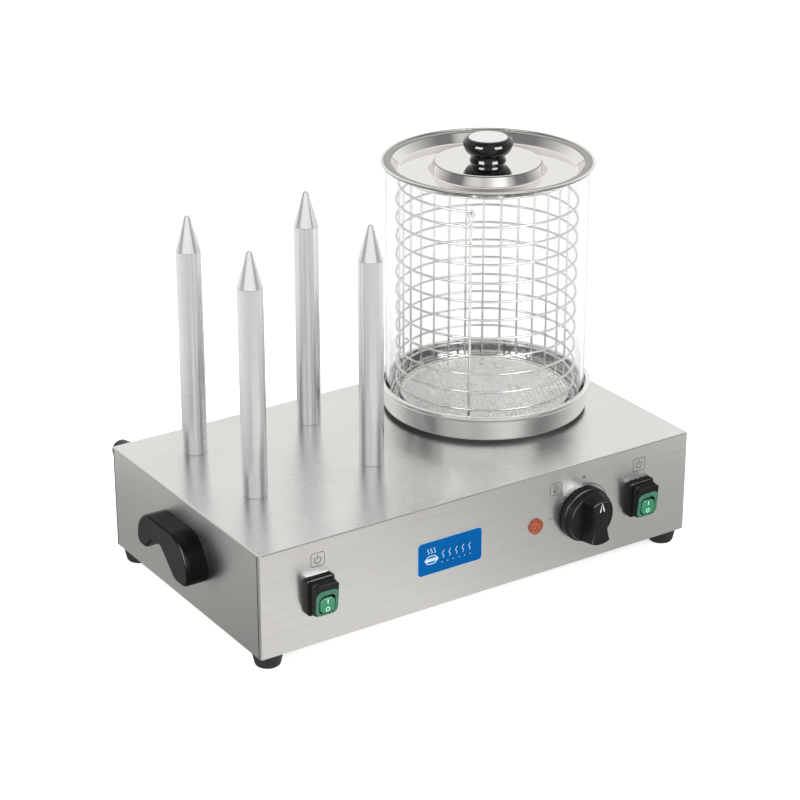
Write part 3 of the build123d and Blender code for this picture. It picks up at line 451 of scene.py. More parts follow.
def rounded(points, radii, steps=6, closed=False):
    """A polyline with its corners rounded. Each corner has its own radius; 0 leaves it sharp."""
    made = []
    count = len(points)
    for k, (point, radius) in enumerate(zip(points, radii)):
        if radius == 0 or (not closed and k in (0, count - 1)):
            made.append(point)
            continue
        here = Vector(point)
        back = (Vector(points[k - 1]) - here).normalized()
        ahead = (Vector(points[(k + 1) % count]) - here).normalized()
        half = back.angle(ahead) / 2
        reach = radius / math.tan(half)
        middle = here + (back + ahead).normalized() * (radius / math.sin(half))
        first, last = here + back * reach - middle, here + ahead * reach - middle
        turn = first.angle(last)
        for step in range(steps + 1):
            share = step / steps
            spoke = (first * math.sin((1 - share) * turn) + last * math.sin(share * turn)) / math.sin(turn)
            made.append(tuple(middle + spoke))
    return made


def offset_line(points, distance):
    """The same polyline moved sideways, to its left."""
    moved = []
    for k, point in enumerate(points):
        before = Vector(points[max(k - 1, 0)])
        after = Vector(points[min(k + 1, len(points) - 1)])
        along = (after - before).normalized()
        moved.append((point[0] - along.y * distance, point[1] + along.x * distance))
    return moved


def lathe(profile, centre, segments=192, closed=True, finish_of=None):
    """A bmesh turned round a vertical axis. The profile is (radius, height) in mm above the centre, and
    finish_of gives a face's finish from its height."""
    shape = bmesh.new()
    rings = []
    for radius, height in profile:
        z = centre.z + height * MM
        if radius < TINY:
            rings.append([shape.verts.new((centre.x, centre.y, z))])
            continue
        ring = []
        for k in range(segments):
            angle = 2 * math.pi * k / segments
            ring.append(shape.verts.new((centre.x + radius * MM * math.cos(angle),
                                         centre.y + radius * MM * math.sin(angle), z)))
        rings.append(ring)
    last = len(rings) if closed else len(rings) - 1
    for k in range(last):
        low, high = rings[k], rings[(k + 1) % len(rings)]
        if len(low) == 1 and len(high) == 1:
            continue
        for s in range(segments):
            t = (s + 1) % segments
            corners = []
            for ring, index in ((low, s), (low, t), (high, t), (high, s)):
                vertex = ring[0] if len(ring) == 1 else ring[index]
                if vertex not in corners:
                    corners.append(vertex)
            face = shape.faces.new(corners)
            if finish_of is not None:
                height = (profile[k][1] + profile[(k + 1) % len(profile)][1]) / 2
                face.material_index = finish_of(height)
    return shape


def add_tube(shape, points, radius, sides=8, closed=False):
    """Adds a round wire along a line of points to a bmesh, with flat ends unless it is closed."""
    count = len(points)
    rings = []
    normal = None
    for k, point in enumerate(points):
        before = points[k - 1] if (k > 0 or closed) else point
        after = points[(k + 1) % count] if (k < count - 1 or closed) else point
        along = (after - before).normalized()
        if normal is None:
            normal = along.orthogonal().normalized()
        normal = (normal - along * normal.dot(along)).normalized()
        side = along.cross(normal)
        rings.append([shape.verts.new(point + (normal * math.cos(2 * math.pi * s / sides)
                                               + side * math.sin(2 * math.pi * s / sides)) * radius)
                      for s in range(sides)])
    for k in range(count if closed else count - 1):
        low, high = rings[k], rings[(k + 1) % count]
        for s in range(sides):
            t = (s + 1) % sides
            shape.faces.new((low[s], low[t], high[t], high[s]))
    if not closed:
        shape.faces.new(rings[0])
        shape.faces.new(rings[-1])


def flat_mesh(loops, thickness):
    """A mesh of flat shapes, given as closed loops in mm, with holes where loops lie inside others."""
    curve = bpy.data.curves.new("outline", "CURVE")
    curve.dimensions = "2D"
    curve.fill_mode = "BOTH"
    curve.extrude = thickness / 2 * MM
    for loop in loops:
        spline = curve.splines.new("POLY")
        spline.points.add(len(loop) - 1)
        for point, (x, y) in zip(spline.points, loop):
            point.co = (x * MM, y * MM, thickness / 2 * MM, 1.0)
        spline.use_cyclic_u = True
    holder = bpy.data.objects.new("outline", curve)
    scene.collection.objects.link(holder)
    bpy.context.view_layer.update()
    mesh = bpy.data.meshes.new_from_object(holder.evaluated_get(bpy.context.evaluated_depsgraph_get()))
    bpy.data.objects.remove(holder)
    bpy.data.curves.remove(curve)
    return mesh


def flat_shape(groups, thickness, matrix):
    """A bmesh of flat shapes placed by a matrix. Each group of loops is filled by itself."""
    shape = bmesh.new()
    for loops in groups:
        mesh = flat_mesh(loops, thickness)
        mesh.transform(matrix)
        shape.from_mesh(mesh)
        bpy.data.meshes.remove(mesh)
    bmesh.ops.remove_doubles(shape, verts=shape.verts, dist=SAME_PLACE)
    return shape


def on_front(x, z, out):
    """The matrix from flat drawings, x right and y up, to the front face, at a distance in front."""
    return Matrix.Translation((x * MM, front - out * MM, z * MM)) @ Matrix.Rotation(math.pi / 2, 4, "X")


def rectangle(width, height, radius, centre=(0.0, 0.0), steps=6):
    """A closed loop round a rectangle with rounded corners."""
    x, y = width / 2, height / 2
    corners = [(centre[0] + sx * x, centre[1] + sy * y) for sx, sy in ((-1, -1), (1, -1), (1, 1), (-1, 1))]
    return rounded(corners, [radius] * 4, steps, closed=True)


def circle(radius, centre=(0.0, 0.0), steps=48):
    """A closed loop round a circle."""
    return list(arc(centre, radius, 0, 360 - 360 / steps, steps - 1))


def stroke(points, width, cap=5):
    """A closed loop round a drawn line, with round ends."""
    half = width / 2
    left, right = offset_line(points, half), offset_line(points, -half)
    (x0, y0), (x1, y1) = points[0], points[1]
    (x2, y2), (x3, y3) = points[-2], points[-1]
    end = math.degrees(math.atan2(y3 - y2, x3 - x2))
    start = math.degrees(math.atan2(y1 - y0, x1 - x0))
    nose = list(arc((x3, y3), half, end + 90, end - 90, cap))
    tail = list(arc((x0, y0), half, start - 90, start - 270, cap))
    return left[1:-1] + nose + right[-2:0:-1] + tail


# ---------------------------------------------------------------- spikes

SPIKE_RADIUS = 12.0
SPIKE_STRAIGHT = 206.5
SPIKE_TOP = 241.0
SPIKE_TIP = 3.0
JOINT_LINE = 0.6
STUD_RADIUS = 5.0
STUD_LENGTH = 14.0
STUD_CHAMFER = 0.5
SPIKE_SEGMENTS = 96
JOINT_DEPTH = 0.75

cone_rise = SPIKE_TOP - SPIKE_TIP - SPIKE_STRAIGHT
cone_lean = math.degrees(math.atan2(SPIKE_RADIUS, cone_rise)
                         - math.asin(SPIKE_TIP / math.hypot(SPIKE_RADIUS, cone_rise)))
spike_profile = [
    (0.0, -STUD_LENGTH), (STUD_RADIUS - STUD_CHAMFER, -STUD_LENGTH),
    (STUD_RADIUS, STUD_CHAMFER - STUD_LENGTH), (STUD_RADIUS, 0.0),
    (SPIKE_RADIUS - 0.4, 0.0), (SPIKE_RADIUS, 0.4), (SPIKE_RADIUS, SPIKE_STRAIGHT - 2 * JOINT_LINE),
    (SPIKE_RADIUS - 0.1, SPIKE_STRAIGHT - JOINT_LINE), (SPIKE_RADIUS - JOINT_DEPTH, SPIKE_STRAIGHT - 0.45),
    (SPIKE_RADIUS - JOINT_DEPTH, SPIKE_STRAIGHT - 0.2), (SPIKE_RADIUS - 0.15, SPIKE_STRAIGHT),
    *arc((0.0, SPIKE_TOP - SPIKE_TIP), SPIKE_TIP, cone_lean, 90, 10)]
spike_profile[-1] = (0.0, SPIKE_TOP)
for corner in SPIKE_CORNERS:
    low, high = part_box("spike_" + corner)
    foot = Vector(((low.x + high.x) / 2, (low.y + high.y) / 2, deck))
    turned = lathe(spike_profile, foot, SPIKE_SEGMENTS, False,
                   lambda height: int(height > SPIKE_STRAIGHT - 0.4))
    finish_piece("turned_spike_" + corner, turned, [materials["spike_aluminium"], cone_metal], "root",
                 ["spike_" + corner], 25.0)

# ---------------------------------------------------------------- collar, glass and steam plate

collar_outline = [(93.2, 5.0), (102.5, 5.0), (105.2, 24.1), (106.2, 26.0), (106.2, 28.6), (101.2, 28.6),
                  (101.2, 15.0), (93.2, 15.0), (93.2, 12.0), (98.8, 12.0), (98.2, 8.0), (93.2, 8.0)]
collar_rounding = [0.3, 0.5, 4.0, 1.0, 1.4, 0.8, 0.6, 0.4, 0.3, 0.5, 0.5, 0.3]
finish_piece("spun_collar", lathe(rounded(collar_outline, collar_rounding, 6, True), axis_place, 256),
             [materials["polished_aluminium"]], "root", ["pan_collar"])

GLASS_RADIUS = 100.0
GLASS_WALL = 3.5
GLASS_LIP = 1.4
ROUND_SEGMENTS = 256
glass_bottom = (glass_low.z - deck) / MM
glass_top = (glass_high.z - deck) / MM
glass_outline = [(GLASS_RADIUS, glass_bottom), (GLASS_RADIUS, glass_top),
                 (GLASS_RADIUS - GLASS_WALL, glass_top), (GLASS_RADIUS - GLASS_WALL, glass_bottom)]
tube = lathe(rounded(glass_outline, [GLASS_LIP] * 4, 6, True), axis_place, ROUND_SEGMENTS)
glass = finish_piece("glass_tube", tube, [materials["clear_glass"]], "glass",
                     ["glass_cylinder"])
glass.visible_shadow = False

PLATE_RADIUS = 92.8
PLATE_HOLE = 1.6
PLATE_PITCH = 5.2
PLATE_SHEET = 1.0
PLATE_MARGIN = 6.0
ROW_PITCH = PLATE_PITCH * math.sin(math.radians(60))
plate_low, plate_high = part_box("steam_plate")
holes = []
rows = int(PLATE_RADIUS / ROW_PITCH)
for row in range(-rows, rows + 1):
    for column in range(-rows, rows + 1):
        x = PLATE_PITCH * (column + 0.5 * (row % 2))
        y = ROW_PITCH * row
        if math.hypot(x, y) < PLATE_RADIUS - PLATE_MARGIN:
            holes.append(circle(PLATE_HOLE, (x, y), 10))
plate_matrix = Matrix.Translation((axis_place.x, axis_place.y, plate_high.z - PLATE_SHEET * MM))
plate_outline = circle(PLATE_RADIUS - PLATE_SHEET, steps=128)
plate_shape = flat_shape([[plate_outline, *holes]], PLATE_SHEET, plate_matrix)
plate_top = (plate_high.z - deck) / MM
plate_bottom = (plate_low.z - deck) / MM
rim_inside = PLATE_RADIUS - PLATE_SHEET
rim_outline = [(rim_inside, plate_top), (PLATE_RADIUS, plate_top), (PLATE_RADIUS, plate_bottom),
               (rim_inside, plate_bottom)]
rim_shape = lathe(rounded(rim_outline, [0, 0.9, 0.2, 0.2], 5, True), axis_place, 128)
rim_mesh = bpy.data.meshes.new("rim")
rim_shape.to_mesh(rim_mesh)
rim_shape.free()
plate_shape.from_mesh(rim_mesh)
bpy.data.meshes.remove(rim_mesh)
finish_piece("perforated_steam_plate", plate_shape, [materials["pan_steel"]], "steam_plate",
             ["steam_plate"])

# ---------------------------------------------------------------- basket

FLOOR_RADIUS = 84.0
FLOOR_TURN = 20.0
HEM_INSIDE = 81.4
HEM_HALF = 0.55
MESH_PITCH = 3.3
MESH_WIRE = 0.45
MESH_WAVE = 0.3
floor_low, floor_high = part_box("basket_floor")
floor_z = (floor_low.z + floor_high.z) / 2
weave = bmesh.new()
mesh_radius = FLOOR_RADIUS - 1.0
strands = int(mesh_radius / MESH_PITCH)
turn = Matrix.Rotation(math.radians(FLOOR_TURN), 3, "Z")
floor_centre = Vector((axis_place.x, axis_place.y, floor_z))
for way in (0, 1):
    for k in range(-strands, strands + 1):
        across_by = MESH_PITCH * k
        reach = math.sqrt(mesh_radius ** 2 - across_by ** 2)
        steps = max(2, int(reach / MESH_PITCH))
        line = []
        for step in range(-2 * steps, 2 * steps + 1):
            along = MESH_PITCH * step / 2
            lift = MESH_WAVE * math.cos(math.pi * along / MESH_PITCH) * (-1) ** (k + way)
            flat = Vector((along, across_by, lift)) if way == 0 else Vector((across_by, along, lift))
            line.append(floor_centre + (turn @ flat) * MM)
        add_tube(weave, line, MESH_WIRE * MM, 5)
finish_piece("woven_basket_floor", weave, [materials["basket_mesh"]], "basket",
             ["basket_floor"], 60.0)
hem_z = (floor_z - deck) / MM
hem_low, hem_high = hem_z - HEM_HALF, hem_z + HEM_HALF
hem_outline = [(HEM_INSIDE, hem_low), (FLOOR_RADIUS, hem_low), (FLOOR_RADIUS, hem_high),
               (HEM_INSIDE, hem_high)]
hem = rounded(hem_outline, [0.25] * 4, 3, True)
finish_piece("basket_floor_hem", lathe(hem, axis_place, 160), [materials["basket_mesh"]], "basket")

RING_RADIUS = 89.0
WIRE_RADIUS = 1.1
UPRIGHT_STEP = 12.0
UPRIGHT_FIRST = -5
UPRIGHT_LAST = 8
LEG_AZIMUTH = 44.6
RING_COUNT = 11
RING_PITCH = 18.8 * MM
WELD_SIZES = (0.85, 1.0)
WELD_SHAPE = (0.75, 1.15, 1.15, 1.0)
top_ring_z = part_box("basket_rings")[1].z - WIRE_RADIUS * MM
welds = bmesh.new()
random.seed(7)
for k in range(UPRIGHT_FIRST, UPRIGHT_LAST + 1):
    azimuth = math.radians(LEG_AZIMUTH + UPRIGHT_STEP * k)
    outward = Vector((math.cos(azimuth), math.sin(azimuth), 0.0))
    for level in range(RING_COUNT):
        z = top_ring_z - RING_PITCH * level
        spot = Vector((axis_place.x, axis_place.y, z)) + outward * (RING_RADIUS - WIRE_RADIUS) * MM
        size = (WELD_SIZES[0] + (WELD_SIZES[1] - WELD_SIZES[0]) * random.random()) * MM
        shape_matrix = (Matrix.Translation(spot) @ Matrix.Rotation(azimuth, 4, "Z")
                        @ Matrix.Diagonal(WELD_SHAPE))
        bmesh.ops.create_icosphere(welds, subdivisions=2, radius=size, matrix=shape_matrix)
finish_piece("basket_welds", welds, [materials["basket_wire"]], "basket", (), 60.0)

# ---------------------------------------------------------------- lid

LID_SHEET = 0.9
LID_RIM = 103.2
BEAD_RADIUS = 1.5
BEAD_SHADE = 0.1
BEAD_REACH = 1.6
LID_GAP = 0.3
LID_SINK = 9.6
knob_base = (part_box("lid_knob")[0].z - deck) / MM
knob_top = (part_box("lid_knob")[1].z - deck) / MM
rim_top = glass_top + LID_GAP + LID_SHEET
floor_top = rim_top - LID_SINK
lid_line = rounded([(0.0, knob_base), (52.0, knob_base), (57.6, floor_top), (88.0, floor_top),
                    (94.9, rim_top), (LID_RIM - BEAD_RADIUS, rim_top)],
                   [0, 2.4, 2.0, 2.6, 2.2, 0], 8)
under_line = offset_line(lid_line, -LID_SHEET)
under_line[0] = (0.0, knob_base - LID_SHEET)
bead_low = math.degrees(math.asin(LID_SHEET / BEAD_RADIUS))
bead = list(arc((LID_RIM, rim_top), BEAD_RADIUS, 180, -180 + bead_low, 24))
lid_profile = lid_line[:-1] + bead + under_line[-2::-1]
# Faces from just above the rim's top down past the bead's lower half take the darker metal, a painted shade
# line.
lid_turned = lathe(lid_profile, axis_place, ROUND_SEGMENTS, False,
                   lambda height: int(-BEAD_REACH < height - rim_top < BEAD_SHADE))
finish_piece("spun_lid", lid_turned, [materials["polished_lid"], bead_painted_shade], "lid",
             ["lid_pan"], 50.0)

CAP_RADIUS = 19.0
CAP_THICKNESS = 0.5
CAP_RECESS = 0.2
KNOB_SEGMENTS = 160
knob_height = knob_top - knob_base
cap_seat = knob_height - CAP_RECESS
knob_profile = [
    (0.0, 0.0), (17.4, 0.0), (17.8, 0.4), *arc_through((17.7, 0.8), (17.0, 2.6), (16.9, 5.0), 8),
    *arc_through((16.95, 5.3), (17.3, 6.0), (18.1, 6.4), 6),
    *arc_through((18.1, 6.4), (22.3, 10.6), (24.3, 16.4), 18)[1:], (24.35, 17.4), (24.2, 18.6),
    *arc_through((24.1, 19.0), (23.9, 19.6), (23.5, 20.2), 3), (23.1, 20.5),
    *arc_through((22.8, 20.7), (21.7, 22.0), (20.3, knob_height - 0.35), 8),
    (CAP_RADIUS + 0.5, cap_seat), (CAP_RADIUS + 0.1, cap_seat),
    (CAP_RADIUS + 0.1, cap_seat - CAP_THICKNESS), (0.0, cap_seat - CAP_THICKNESS)]
knob_profile = [(radius, knob_base + height) for radius, height in knob_profile]
finish_piece("turned_lid_knob", lathe(knob_profile, axis_place, KNOB_SEGMENTS, False),
             [materials["gloss_black"]], "lid", ["lid_knob"], 24.0)
cap_low = knob_top - CAP_RECESS - CAP_THICKNESS
cap_profile = [(0.0, cap_low), (CAP_RADIUS, cap_low), (CAP_RADIUS, knob_top - 0.35),
               (CAP_RADIUS - 0.35, knob_top - 0.02), (CAP_RADIUS - 1.2, knob_top), (0.0, knob_top - 0.1)]
finish_piece("lid_knob_cap", lathe(cap_profile, axis_place, KNOB_SEGMENTS, False), [cap_metal], "lid",
             (), 28.0)

# ---------------------------------------------------------------- label

LABEL_X, LABEL_Z = -39.5, 67.4
LABEL_WIDTH, LABEL_HEIGHT = 72.6, 34.3
LABEL_BORDER = 0.35
BACKING = 0.42
FILM = 0.08
BUN_PLACE = (-21.0, -2.2)
backing = flat_shape([[rectangle(LABEL_WIDTH, LABEL_HEIGHT, 4.0)]], BACKING,
                     on_front(LABEL_X, LABEL_Z, 0.0))
finish_piece("label_backing", backing, [label_border], "root", ["label_plate"])
film_size = (LABEL_WIDTH - 2 * LABEL_BORDER, LABEL_HEIGHT - 2 * LABEL_BORDER)
film = flat_shape([[rectangle(*film_size, 3.7)]], FILM, on_front(LABEL_X, LABEL_Z, BACKING))
finish_piece("label_film", film, [materials["label_blue"]], "root")

on_film = on_front(LABEL_X, LABEL_Z, BACKING + FILM)
bun = [[rectangle(13.0, 9.0, 4.0, BUN_PLACE), rectangle(11.2, 7.2, 3.2, BUN_PLACE)]]
sausage = [[rectangle(15.5, 3.4, 1.65, BUN_PLACE)]]
steam = [[stroke([(x + 1.0 * math.sin(t * 1.05), base + t * 0.9) for t in range(7)], 0.75)]
         for x, base in ((-24.5, 4.4), (-21.0, 4.4), (-17.5, 4.4))]
curls = [[stroke([(x + 0.9 * math.sin(t * 1.1), -3.2 + t * 1.05) for t in range(8)], 0.7)]
         for x in (-8.0, -0.5, 7.0, 14.5, 22.0)]
dots = [[circle(0.55, (-9.0 + 6.4 * k, -7.6), 14)] for k in range(6)]
finish_piece("label_pictogram", flat_shape(bun + steam + curls + dots, 0.05, on_film), [label_border],
             "root")
finish_piece("label_sausage", flat_shape(sausage, 0.07, on_film), [label_border], "root")

# ---------------------------------------------------------------- printed marks on the front

PRINT = 0.06
SWITCH_X = {"left": -184.0, "right": 184.0}
SWITCH_Z = 66.8
DIAL_X, DIAL_Z = 116.6, 66.8
POWER_MARK_Z = 100.4
HEAT_MARK_PLACE = (83.0, 100.2)
ZERO_DOT_Z = 104.5
WEDGE_RADIUS = 30.6
WEDGE_WIDTHS = (0.4, 1.5)
WEDGE_START, WEDGE_END = 22, 92
WEDGE_STEPS = 40


def print_mark(name, groups, x, z):
    """Grey print on the front face."""
    finish_piece(name, flat_shape(groups, PRINT, on_front(x, z, 0.0)), [print_grey], "root")


def framed(width=15.0, height=14.0):
    """The thin rounded frame round a pictogram."""
    return [rectangle(width, height, 2.2), rectangle(width - 1.3, height - 1.3, 1.6)]


for side, x in SWITCH_X.items():
    broken_circle = [stroke(list(arc((0.0, -0.4), 3.3, 125, 415, 40)), 0.9)]
    bar = [stroke([(0.0, -0.2), (0.0, 4.4)], 0.9)]
    print_mark("power_mark_" + side, [framed(), broken_circle, bar], x, POWER_MARK_Z)
thermometer = [stroke([(-1.2, -0.8), (-1.2, 4.2)], 1.1)]
bulb = [circle(1.5, (-1.2, -2.6), 24)]
ticks = [[stroke([(1.2, y), (3.4, y)], 0.5)] for y in (-0.4, 1.6, 3.6)]
print_mark("heat_mark", [framed(14.0, 13.0), thermometer, bulb, *ticks], *HEAT_MARK_PLACE)
print_mark("zero_dot", [[circle(1.6, (0.0, 0.0), 20)]], DIAL_X, ZERO_DOT_Z)
wedge = list(arc((0.0, 0.0), WEDGE_RADIUS, WEDGE_END, WEDGE_START, WEDGE_STEPS))
for k in range(WEDGE_STEPS + 1):
    share = k / WEDGE_STEPS
    angle = math.radians(WEDGE_START + (WEDGE_END - WEDGE_START) * share)
    radius = WEDGE_RADIUS - WEDGE_WIDTHS[0] - (WEDGE_WIDTHS[1] - WEDGE_WIDTHS[0]) * share
    wedge.append((radius * math.cos(angle), radius * math.sin(angle)))
print_mark("heat_wedge", [[wedge]], DIAL_X, DIAL_Z)
scale_marks = [[stroke([(-41.0 + 2.6 * k, 2.2), (-41.0 + 2.6 * k, 4.4)], 0.9)] for k in range(5)]
print_mark("scale_marks", scale_marks, DIAL_X, DIAL_Z)

# The pointer on the thermostat knob's grip bar.
pointer = [stroke([(-2.3, 12.6), (0.0, 20.9), (2.3, 12.6)], 1.0)]
knob_front = (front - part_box("thermostat_knob")[0].y) / MM
pointer_shape = flat_shape([pointer], 0.08, on_front(DIAL_X, DIAL_Z, knob_front - 0.04))
finish_piece("knob_pointer", pointer_shape, [print_white], "knob")

# ---------------------------------------------------------------- lamp

LAMP_X, LAMP_Z = 59.9, 66.8
lens = bmesh.new()
facet_rings = [  # radius and distance in front of the panel
    (8.0, 0.0), (8.0, 1.5), (7.3, 2.2), (6.7, 2.2), (6.4, 3.0), (5.0, 4.0), (2.6, 4.5)]
FACETS = 14
LENS_TIP = 4.6
DOME_START = 4
previous = None
lens_matrix = on_front(LAMP_X, LAMP_Z, 0.0)
for index, (radius, out) in enumerate(facet_rings):
    offset = 0.5 * (index % 2) if index > DOME_START else 0.0
    ring = [lens.verts.new(lens_matrix @ Vector((
        radius * MM * math.cos(2 * math.pi * (k + offset) / FACETS),
        radius * MM * math.sin(2 * math.pi * (k + offset) / FACETS), out * MM))) for k in range(FACETS)]
    if previous is not None:
        for k in range(FACETS):
            n = (k + 1) % FACETS
            if index > DOME_START:
                lens.faces.new((previous[k], previous[n], ring[k]))
                lens.faces.new((previous[n], ring[n], ring[k]))
            else:
                lens.faces.new((previous[k], previous[n], ring[n], ring[k]))
    previous = ring
tip = lens.verts.new(lens_matrix @ Vector((0.0, 0.0, LENS_TIP * MM)))
for k in range(FACETS):
    lens.faces.new((previous[k], previous[(k + 1) % FACETS], tip))
lens_back = [v for v in lens.verts if abs(v.co.y - front) < SAME_PLACE]
lens.faces.new(lens_back)
finish_piece("faceted_lens", lens, [materials["lamp_orange"]], "root", ["lamp_lens"], 12.0)

# ---------------------------------------------------------------- switches

PIVOT_OUT = 8.0
PAD_LEAN = 4.0
PAD_WIDTH = 15.4
PAD_TOP = 2.8
PAD_BOTTOM = -12.6
PAD_BACK = 1.0
PAD_FACE = 9.2
PAD_RADIUS = 5.0
PAD_EDGE = 0.9
COLLAR_OUT = 13.0
BOOT_WIDTH = 23.6
BOOT_TOP = 9.8
BOOT_BOTTOM = -16.2
BOOT_THICKNESS = 1.1
BEZEL_WIDTH = 24.2
BEZEL_HALF = 16.4
BEZEL_THICKNESS = 0.6
BEZEL_SLOPE = 7.0
BOOT_HOLE_WIDTH = 17.0
BOOT_HOLE_TOP = 5.0
BOOT_HOLE_BOTTOM = -14.2
FRONT_EDGE_ANGLE = 60.0
SIGN_HEIGHT = 0.06


def soft_plate(loops, thickness, matrix, edge):
    """A moulded plate whose front edges are rounded."""
    plate = flat_shape([loops], thickness, Matrix.Identity(4))
    front_edges = [e for e in plate.edges if len(e.link_faces) == 2
                   and e.calc_face_angle() > math.radians(FRONT_EDGE_ANGLE)
                   and min(v.co.z for v in e.verts) > thickness * MM - TINY]
    bmesh.ops.bevel(plate, geom=front_edges, offset=edge * MM, segments=4, profile=0.5, affect="EDGES")
    bmesh.ops.transform(plate, matrix=matrix, verts=plate.verts)
    return plate


def upright_box(width, low, high, radius):
    """A closed loop round an upright rounded rectangle, from its lowest to its highest edge."""
    return rectangle(width, high - low, radius, (0.0, (low + high) / 2), 8)


def sloped_plate(loops, thickness, base, x, edge):
    """A moulded plate on a switch, leaning out towards its top. With no base it is a wedge that starts at
    the CAD frame's face."""
    plate = soft_plate(loops, thickness, Matrix.Identity(4), edge)
    for vertex in plate.verts:
        if base > 0 or vertex.co.z > 0.4 * thickness * MM:
            vertex.co.z += base * MM + (BEZEL_HALF * MM + vertex.co.y) * math.tan(math.radians(BEZEL_SLOPE))
    bmesh.ops.transform(plate, matrix=on_front(x, SWITCH_Z, COLLAR_OUT), verts=plate.verts)
    return plate


for side, x in SWITCH_X.items():
    hole = upright_box(BOOT_HOLE_WIDTH, BOOT_HOLE_BOTTOM, BOOT_HOLE_TOP, 5.4)
    bezel = sloped_plate([upright_box(BEZEL_WIDTH, -BEZEL_HALF, BEZEL_HALF, 4.0), hole], BEZEL_THICKNESS,
                         0.0, x, 0.4)
    finish_piece(f"{side}_switch_bezel", bezel, [materials["switch_black"]], "root", (), 40.0)
    boot = sloped_plate([upright_box(BOOT_WIDTH, BOOT_BOTTOM, BOOT_TOP, 6.0), hole], BOOT_THICKNESS,
                        BEZEL_THICKNESS, x, 0.5)
    finish_piece(f"{side}_switch_boot", boot, [boot_silicone], "root", (), 40.0)
    to_pivot = (Matrix.Translation((x * MM, front - PIVOT_OUT * MM, SWITCH_Z * MM))
                @ Matrix.Rotation(math.radians(PAD_LEAN), 4, "X") @ Matrix.Rotation(math.pi / 2, 4, "X"))
    to_back = to_pivot @ Matrix.Translation((0.0, 0.0, PAD_BACK * MM))
    pad = soft_plate([upright_box(PAD_WIDTH, PAD_BOTTOM, PAD_TOP, PAD_RADIUS)], PAD_FACE - PAD_BACK,
                     to_back, PAD_EDGE)
    finish_piece(f"{side}_rocker_pad", pad, [materials["rocker_green"]], side + "_rocker",
                 [side + "_rocker"], 40.0)
    on_pad = to_pivot @ Matrix.Translation((0.0, 0.0, PAD_FACE * MM))
    signs = flat_shape([[stroke([(0.0, -2.6), (0.0, 0.9)], 1.0)],
                        [circle(2.3, (0.0, -8.8), 32), circle(1.45, (0.0, -8.8), 32)]], SIGN_HEIGHT, on_pad)
    finish_piece(f"{side}_rocker_signs", signs, [print_mint], side + "_rocker")

# ---------------------------------------------------------------- stage

FLOOR_SIZE = 40.0
TO_CAMERA = (-0.5501, -0.8351)
TO_RIGHT = (0.8351, -0.5501)
WARM_WHITE = (1.0, 0.985, 0.965, 1.0)
STUDIO_WHITE = (1.0, 0.995, 0.985, 1.0)
BRIGHT_SIDE = (0.50, 0.76, 0.42)
LIGHT_AIM = Vector((0.05, 0.0, 0.22))
LIGHT_DISTANCE = 1.9


def towards(tree, vector, direction):
    """The cosine between a unit vector and a direction."""
    return vector_math(tree, "DOT_PRODUCT", vector, Vector(direction).normalized())


def studio_direction(turn, rise):
    """A direction, by degrees to the right of the camera's side and degrees above the horizon."""
    a, e = math.radians(turn), math.radians(rise)
    flat = [math.cos(a) * c + math.sin(a) * r for c, r in zip(TO_CAMERA, TO_RIGHT)]
    return (flat[0] * math.cos(e), flat[1] * math.cos(e), math.sin(e))


def stage_plane(name, size, material_of):
    """A big level plane on the ground. material_of makes its material."""
    shape = bmesh.new()
    bmesh.ops.create_grid(shape, x_segments=1, y_segments=1, size=size / 2)
    mesh = bpy.data.meshes.new(name)
    shape.to_mesh(mesh)
    shape.free()
    mesh.materials.append(material_of(name))
    plane = bpy.data.objects.new(name, mesh)
    scene.collection.objects.link(plane)
    return plane


def pale_floor(name):
    """Nearly white paper."""
    made = start_material(name, (0.86, 0.86, 0.86), 0.0, 0.7, Emission_Color=(1.0, 1.0, 1.0, 1.0),
                          Emission_Strength=0.55)[0]
    made.cycles.emission_sampling = "NONE"
    return made


def mirrored_floor(name):
    """What the metal sees of the ground. Close by, it is bright in front of the left half, dimmer in front of
    the right half, and dark on the left and behind. Further away, it is dimmer on the camera's side."""
    made = bpy.data.materials.new(name)
    made.use_nodes = True
    made.cycles.emission_sampling = "NONE"
    tree = made.node_tree
    tree.nodes.clear()
    place = tree.nodes.new("ShaderNodeNewGeometry").outputs["Position"]
    split = tree.nodes.new("ShaderNodeSeparateXYZ")
    tree.links.new(place, split.inputs[0])
    x, y = split.outputs["X"], split.outputs["Y"]
    in_front = spread(tree, x, 0.83, 0.48, start=-0.05, end=0.20)
    at_left = spread(tree, y, 0.30, 0.38, start=-0.09, end=0.04)
    corner = spread(tree, math_node(tree, "SUBTRACT", y, x), 0.0, 1.0, start=0.06, end=0.15)
    near = blend_values(tree, corner, in_front, at_left)
    facing = towards(tree, vector_math(tree, "NORMALIZE", place), (*TO_CAMERA, 0.0))
    far = spread(tree, facing, 0.90, 0.60, start=-0.2, end=0.95)
    distance = spread(tree, vector_math(tree, "LENGTH", place), 0.0, 1.0, start=0.42, end=0.75)
    glow = tree.nodes.new("ShaderNodeEmission")
    glow.inputs["Color"].default_value = WARM_WHITE
    tree.links.new(blend_values(tree, distance, near, far), glow.inputs["Strength"])
    end = tree.nodes.new("ShaderNodeOutputMaterial")
    tree.links.new(glow.outputs[0], end.inputs["Surface"])
    return made


floor = stage_plane("floor", FLOOR_SIZE, pale_floor)
floor.visible_glossy = False
mirror_floor = stage_plane("floor_seen_in_metal", FLOOR_SIZE, mirrored_floor)
for ray in ("camera", "diffuse", "transmission", "volume_scatter", "shadow"):
    setattr(mirror_floor, "visible_" + ray, False)

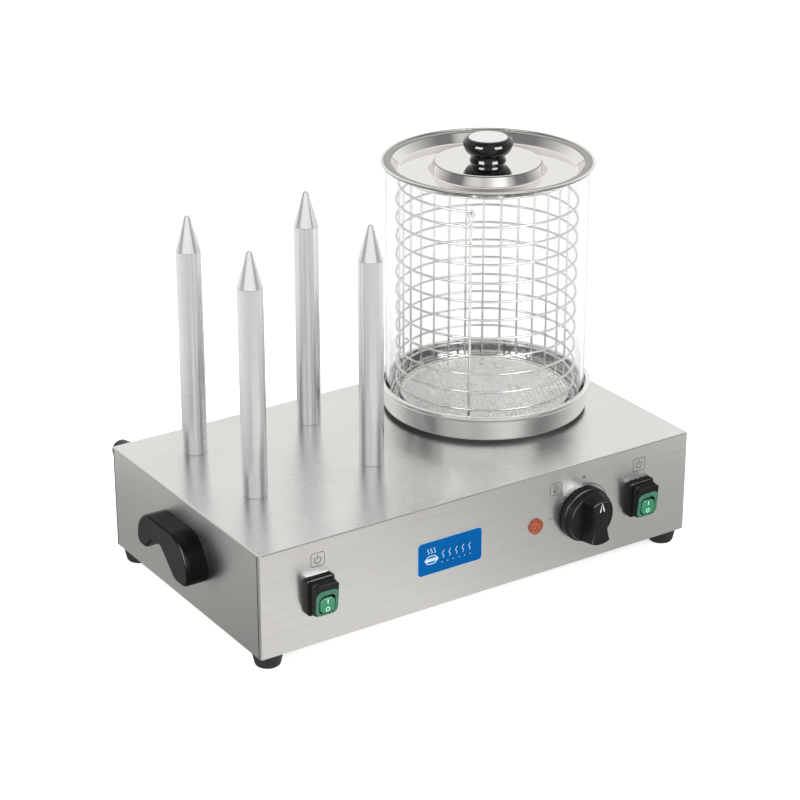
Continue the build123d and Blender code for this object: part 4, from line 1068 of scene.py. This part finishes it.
# The studio, as metal sees it: white behind the object, dim on the camera's side, with soft lit patches.
# A patch is given by its turn and rise, its angular size and how much light it adds.
PATCHES = [(20.0, 50.0, 24.0, 0.45), (-26.0, 18.0, 34.0, 0.60), (28.0, 18.0, 34.0, 0.60)]
PATCH_CORE = 0.6
world = bpy.data.worlds.new("studio")
world.use_nodes = True
scene.world = world
tree = world.node_tree
direction = tree.nodes.new("ShaderNodeTexCoord").outputs["Generated"]
brightness = spread(tree, towards(tree, direction, BRIGHT_SIDE), 0.23, 0.97, start=0.10, end=0.70)
for turn, rise, size, extra in PATCHES:
    facing = towards(tree, direction, studio_direction(turn, rise))
    patch = spread(tree, facing, 0.0, extra, start=math.cos(math.radians(size)),
                   end=math.cos(math.radians(size * PATCH_CORE)))
    brightness = math_node(tree, "ADD", brightness, patch)
# The backdrop itself is white, seen directly or through the glass.
path = tree.nodes.new("ShaderNodeLightPath").outputs
seen = math_node(tree, "MAXIMUM", path["Is Camera Ray"], path["Is Transmission Ray"])
background = tree.nodes["Background"]
background.inputs["Color"].default_value = STUDIO_WHITE
tree.links.new(blend_values(tree, seen, brightness, 1.0), background.inputs["Strength"])


def softbox(name, turn, rise, size, power):
    """A rectangular light that faces the object."""
    light = bpy.data.lights.new(name, "AREA")
    light.shape = "RECTANGLE"
    light.size, light.size_y = size
    light.energy = power
    away = Vector(studio_direction(turn, rise))
    holder = bpy.data.objects.new(name, light)
    holder.location = LIGHT_AIM + away * LIGHT_DISTANCE
    holder.rotation_mode = "QUATERNION"
    holder.rotation_quaternion = (-away).to_track_quat("-Z", "Y")
    holder.visible_camera = False
    scene.collection.objects.link(holder)
    return holder


# Two softboxes light the matt surfaces, and two tall windows put highlights on black and green pieces.
GLOSSY_PLASTICS = [materials[name] for name in (
    "gloss_black", "handle_black", "knob_black", "switch_black", "rocker_green", "black_rubber")]
SOFTBOX_TURNS = {"left": -42.0, "right": 42.0}
WINDOW_TURNS = {"left": -44.0, "right": 49.0}
for side, turn in SOFTBOX_TURNS.items():
    softbox("softbox_" + side, turn, rise=30.0, size=(1.1, 1.1), power=20.0).visible_glossy = False
plastics = bpy.data.collections.new("glossy_plastics")
for piece in scene.objects:
    if piece.type == "MESH" and any(finish in GLOSSY_PLASTICS for finish in piece.data.materials):
        plastics.objects.link(piece)
for side, turn in WINDOW_TURNS.items():
    window = softbox("window_" + side, turn, rise=14.0, size=(1.2, 1.5), power=110.0)
    window.visible_diffuse = False
    window.visible_transmission = False
    window.light_linking.receiver_collection = plastics
